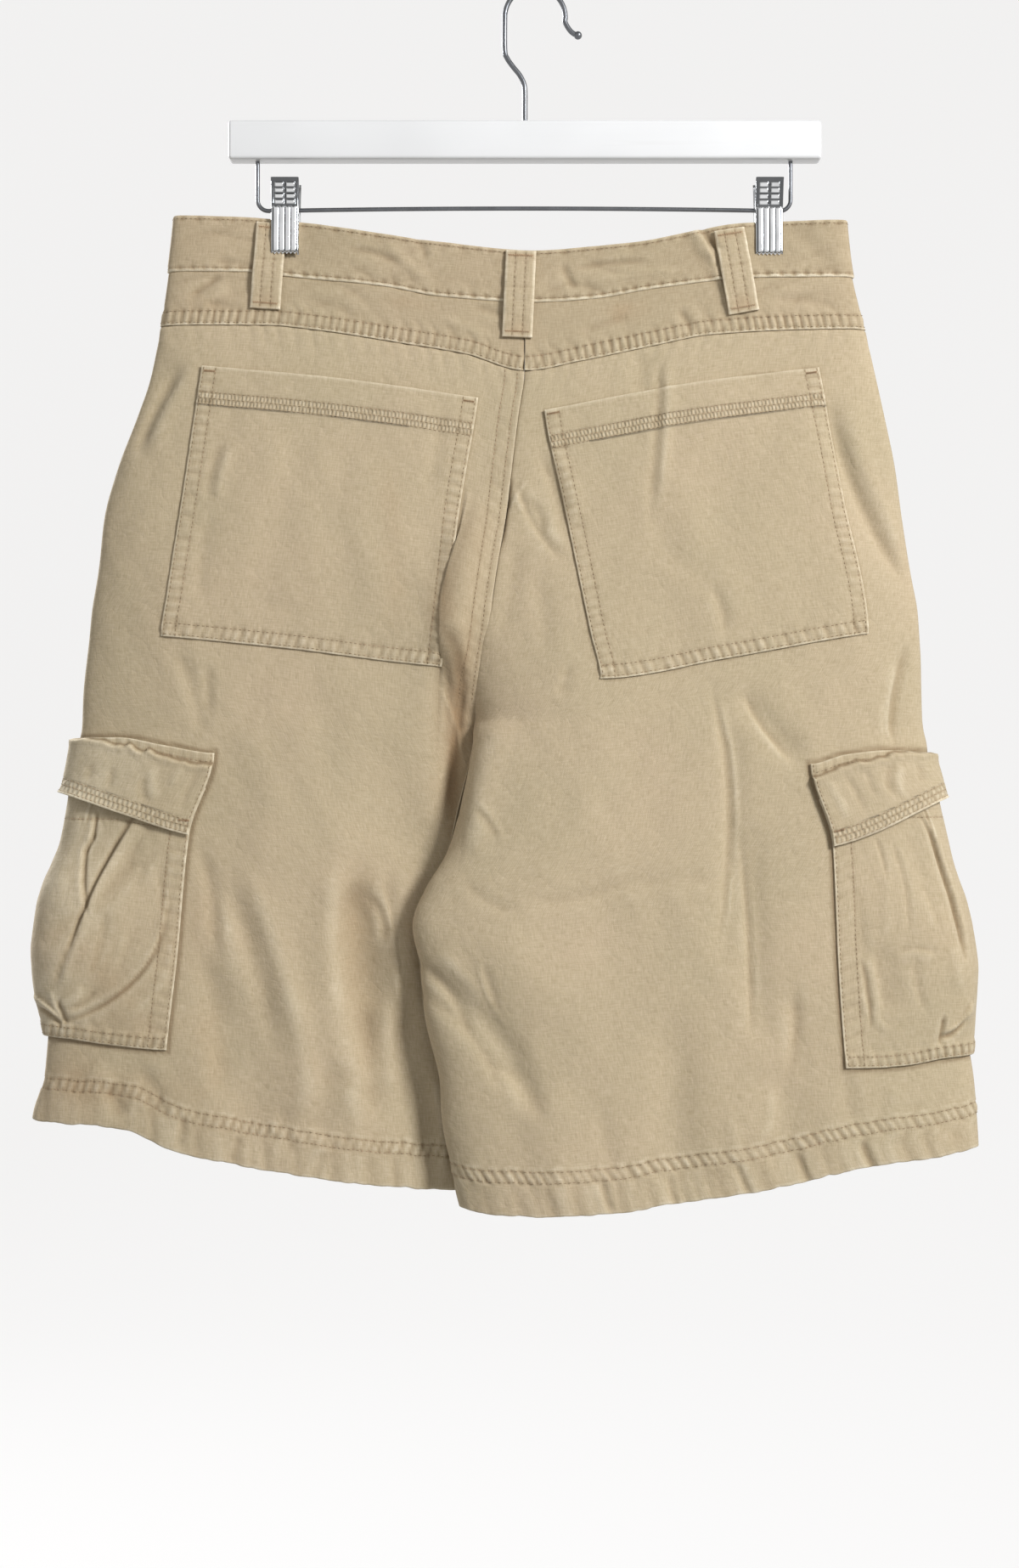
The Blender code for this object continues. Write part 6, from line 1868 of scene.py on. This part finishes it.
def hook():
    """The wire loop with its bent stem, and the ball on its tip."""
    radius = HOOK_INNER + HOOK_WIRE
    stem = list(zip(HOOK_STEM["x"], HOOK_STEM["drop"]))
    tip = list(zip(HOOK_TIP["x"], HOOK_TIP["drop"]))
    path = rounded(stem + arc((0, HOOK_INNER), radius, 180, -8, 28) + tip)
    made = tube("hook_wire", [in_plane(path)], [HOOK_WIRE], 16, WIRE)
    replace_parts(made, "hanger_hook")
    a = np.linspace(0, math.pi, 13)
    points, faces = lathe(zip(HOOK_BALL * np.sin(a), HOOK_BALL * np.cos(a)), 20)
    points = points + (HOOK_TIP["x"][-1], 0, -HOOK_TIP["drop"][-1])
    piece("hook_ball", meshed("hook_ball", points, faces), WIRE)


def rod_drop_at(x):
    """The rod bows up a little between its bends."""
    share = (x - ROD_LEFT_X - ROD_BEND) / (ROD_RIGHT_X - ROD_LEFT_X - 2 * ROD_BEND)
    return ROD_DROP - ROD_BOW * 4 * share * (1 - share)


def rod():
    """The thin rod under the bar, with both ends turned up into it."""
    top = BAR_TOP_DROP + BAR_HEIGHT - 1.0
    bend = ROD_DROP - ROD_BEND
    path = [(ROD_LEFT_X, top)] + arc((ROD_LEFT_X + ROD_BEND, bend), ROD_BEND, 180, 270, 8)
    for share in np.linspace(0, 1, 25)[1:-1]:
        x = ROD_LEFT_X + ROD_BEND + (ROD_RIGHT_X - ROD_LEFT_X - 2 * ROD_BEND) * share
        path.append((x, rod_drop_at(x)))
    path += arc((ROD_RIGHT_X - ROD_BEND, bend), ROD_BEND, 270, 360, 8) + [(ROD_RIGHT_X, top)]
    made = tube("rod_wire", [in_plane(path)], [ROD_RADIUS], 14, WIRE)
    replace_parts(made, "hanger_rod")


hanger_bar()
hook()
rod()

# ------------------------------------------------------------------ clips

CLIP_WIDTH = 17.8
CLIP_TOP, CLIP_FOOT = 123.2, 172.0
CLIP_PLATE = 0.9
FLANGE = 3.4
KNURL_END = 140.0
CLIP_FLUTES, CLIP_TEETH = 4, 7
SPRING_TURNS, SPRING_WIRE, SPRING_RADIUS, SPRING_LENGTH = 7, 0.55, 2.55, 11.0
CLIPS = {
    "clip_left": {"x": -160.0, "outer": 8.6, "inner": 5.3},
    "clip_right": {"x": 150.0, "outer": 5.3, "inner": 5.3},
}


def jaw_spread(drop, jaw):
    """How far a jaw stands from the hanger's plane at each drop."""
    profile = table(
        "drop spread",
        (CLIP_TOP, 8.8), (132, max(6.6, jaw - 0.8)), (138, max(5.0, jaw - 1.2)),
        (142.3, max(4.4, jaw - 1.2)), (152, jaw - 0.5), (162, jaw), (CLIP_FOOT, jaw),
    )
    return smooth(profile, "drop", "spread", drop)


def clip_jaw(name, x, face, jaw):
    """A pressed jaw: dimpled thumb pad, four flutes, side flanges and a toothed foot."""
    half = CLIP_WIDTH / 2
    flat = np.concatenate((np.linspace(-half - FLANGE, -half - 0.6, 5), np.linspace(-half, half, 65)))
    flat = np.concatenate((flat, np.linspace(half + 0.6, half + FLANGE, 5)))
    drop = np.linspace(CLIP_TOP, CLIP_FOOT, 91)[:, None]
    drop, flat = np.broadcast_arrays(drop, flat[None, :])
    inside = np.clip(flat, -half, half)
    turned = np.abs(flat) - np.abs(inside)
    taper = ease(CLIP_TOP - 2, CLIP_TOP + 9, drop) * ease(CLIP_FOOT + 1, CLIP_FOOT - 6, drop)
    corner = np.clip((np.abs(inside) - (half - 1.2)) / 1.2, 0, 1)
    depth = jaw_spread(drop, jaw) + CLIP_PLATE - 1.1 * (1 - np.sqrt(1 - corner**2 * 0.98))
    depth = depth - turned * (0.25 + 0.75 * taper)
    lane = np.clip((np.abs(inside) / (half - 1.4)), 0, 1)
    flute = np.abs(np.sin(TURN * (inside + half - 1.4) / (2 * (CLIP_WIDTH - 2.8) / CLIP_FLUTES)))
    low = ease(KNURL_END + 0.5, KNURL_END + 2.5, drop) * ease(CLIP_FOOT - 0.6, CLIP_FOOT - 2.6, drop)
    depth = depth + 0.75 * np.sqrt(flute) * low * ease(1.0, 0.93, lane)
    row = np.abs(np.sin(TURN * (drop - CLIP_TOP - 2.6) / (2 * 3.6)))
    pad = np.abs(np.sin(TURN * (inside + half - 1.6) / (CLIP_WIDTH - 3.2)))
    high = ease(CLIP_TOP + 2.0, CLIP_TOP + 3.2, drop) * ease(KNURL_END + 0.4, KNURL_END - 0.6, drop)
    high = high * ease(1.0, 0.95, lane)
    knurl = ease(0.3, 0.8, row) * ease(0.2, 0.7, pad)
    depth = depth + high * (1.1 * np.sqrt(row) * ease(0.1, 0.6, pad) - 0.3)
    upper = ease(KNURL_END + 1.4, KNURL_END + 0.4, drop)
    # Painted shade and dark reflection: the upper plate but for its dimples, the flute hollows, the
    # flanges' folds and lines at the pad's foot and the teeth
    hollow_shade = np.maximum(0.92 * upper * (1 - high * knurl), low * ease(0.66, 0.2, flute))
    hollow_shade = np.maximum(hollow_shade, 0.8 * bell(np.abs(flat) - half, 0.7))
    on_face = ease(half + 0.2, half - 0.4, np.abs(flat))
    hollow_shade = np.maximum(hollow_shade, bell(drop - KNURL_END - 0.8, 0.7) * on_face)
    hollow_shade = np.maximum(hollow_shade, bell(drop - CLIP_FOOT + 1.4, 0.6) * on_face)
    teeth = 1.4 * np.abs(np.sin(TURN * (inside + half) / (2 * CLIP_WIDTH / CLIP_TEETH)))
    teeth = teeth * ease(CLIP_FOOT - 2, CLIP_FOOT, drop)
    curl = 1.6 * ease(CLIP_TOP + 2.2, CLIP_TOP, drop)
    y = face * (depth - 0.9 * ease(CLIP_FOOT - 2.5, CLIP_FOOT, drop) + curl * 0.6)
    outer = np.stack((x + inside * (1 - 0.02 * turned), y, -(drop - teeth)), axis=-1)
    side_way = np.sign(flat) * ease(0, 0.6, turned)
    way = np.stack((side_way, face * (1 - 0.8 * np.abs(side_way)), 0 * drop), axis=-1)
    way = way / np.linalg.norm(way, axis=-1, keepdims=True)
    inner = outer - way * CLIP_PLATE
    return metal_sheet(name, outer, inner, np.clip(hollow_shade, 0, 1))


def metal_sheet(name, outer, inner, hollow_shade):
    """A closed plate between two walls, with painted shade in its hollows."""
    count = hollow_shade.size
    grid = np.arange(count).reshape(hollow_shade.shape)
    faces = [quads(grid), quads(grid + count)[:, ::-1]]
    around = np.concatenate((grid[0], grid[1:, -1], grid[-1, -2::-1], grid[-2:0:-1, 0]))
    there = np.roll(around, -1)
    faces.append(np.stack((there, around, around + count, there + count), axis=1))
    points = np.concatenate((outer.reshape(-1, 3), inner.reshape(-1, 3)))
    mesh = meshed(name, points, np.concatenate(faces).tolist(), 48)
    layer = mesh.attributes.new("hollow_shade", "FLOAT", "POINT")
    layer.data.foreach_set("value", np.append(hollow_shade, np.zeros(count)).astype(np.float32))
    return piece(name, mesh, CHROME)


def clip_spring(name, x):
    """The coiled spring round the rod that shuts the jaws."""
    a = np.linspace(0, SPRING_TURNS * TURN, SPRING_TURNS * 16)
    run = x - SPRING_LENGTH / 2 + SPRING_LENGTH * a / a[-1]
    out, up = SPRING_RADIUS * np.cos(a), SPRING_RADIUS * np.sin(a) - rod_drop_at(x)
    return tube(name, [np.stack((run, out, up), axis=1)], [SPRING_WIRE], 8, WIRE)


for name, clip in CLIPS.items():
    for face, word, jaw in ((BACK, "outer", clip["outer"]), (FRONT, "inner", clip["inner"])):
        made = clip_jaw(name + "_" + word + "_pressed", clip["x"], face, jaw)
        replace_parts(made, name + "_" + word + "_jaw")
    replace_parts(clip_spring(name + "_spring", clip["x"]), name + "_barrel")

# ------------------------------------------------------------------ stage, light and camera

FLOOR_Z = -1.75
STAGE_RADIUS, COVE_RADIUS, WALL_TOP = 5.0, 1.6, 4.5
EYE = (-0.0164, -1.400, -0.5106)
LENS = 50.0
MIDDLE = (-0.02, 0, -0.45)
LAMP_SIZE, LAMP_POWER = 0.8, 100.0
LAMP_COLOUR = (0.975, 0.985, 1.01)
ROOM_LIGHT = (0.41, 0.52)


def backdrop():
    """A pale floor that curves up into a wall all round, far behind whatever way the part is seen."""
    profile = [(0.0, FLOOR_Z), (STAGE_RADIUS - COVE_RADIUS, FLOOR_Z)]
    for k in range(1, 13):
        a = math.pi / 2 * k / 12
        out = STAGE_RADIUS - COVE_RADIUS + COVE_RADIUS * math.sin(a)
        profile.append((out, FLOOR_Z + COVE_RADIUS * (1 - math.cos(a))))
    profile.append((STAGE_RADIUS, WALL_TOP))
    mesh = meshed("studio", *lathe(profile, 96), unit=1)
    paper = new_material(
        "studio_paper",
        Roughness=0.95,
        Base_Color=(0.12, 0.12, 0.12, 1),
        Emission_Color=(1.0, 0.992, 0.985, 1),
        Emission_Strength=0.80,
    )[0]
    mesh.materials.append(paper)
    stage = bpy.data.objects.new("studio", mesh)
    stage.visible_diffuse = False
    bpy.context.scene.collection.objects.link(stage)


def soft_light(name, place):
    """A soft lamp at a place, turned to the middle of the part."""
    lamp = bpy.data.lights.new(name, "AREA")
    lamp.shape = "RECTANGLE"
    lamp.size, lamp.size_y = LAMP_SIZE, LAMP_SIZE
    lamp.energy = LAMP_POWER
    lamp.color = LAMP_COLOUR
    made = bpy.data.objects.new(name, lamp)
    made.location = place
    made.rotation_euler = (Vector(MIDDLE) - Vector(place)).to_track_quat("-Z", "Y").to_euler()
    bpy.context.scene.collection.objects.link(made)


def room():
    """Soft light from all round, brighter from above, with dim corners for the metal to mirror."""
    world = bpy.data.worlds.new("room")
    world.use_nodes = True
    n = Nodes(world.node_tree)
    x = n.add("ShaderNodeSeparateXYZ", (0, n.add("ShaderNodeTexCoord", output=0)))
    sky = n.band(x.node.outputs[2], -0.5, 0.6, *ROOM_LIGHT)
    corners = n.band(n.math("SINE", n.times(x, 11.0)), -0.4, 0.4, 0.45, 1.5)
    shader = world.node_tree.nodes["Background"]
    shader.inputs["Color"].default_value = (0.98, 0.98, 0.975, 1)
    world.node_tree.links.new(n.times(sky, corners), shader.inputs["Strength"])
    bpy.context.scene.world = world


def light_and_camera():
    """One lamp for each side, the room's light, and the camera before the shorts' back."""
    soft_light("key", (2.0, -2.1, 0.85))
    soft_light("back_key", (-2.0, 2.1, 0.85))
    room()
    lens = bpy.data.cameras.new("camera")
    lens.lens = LENS
    camera = bpy.data.objects.new("camera", lens)
    camera.location = EYE
    camera.rotation_euler = (math.radians(90), 0, 0)
    bpy.context.scene.collection.objects.link(camera)
    bpy.context.scene.camera = camera
    bpy.context.scene.view_settings.view_transform = "Standard"


backdrop()
light_and_camera()
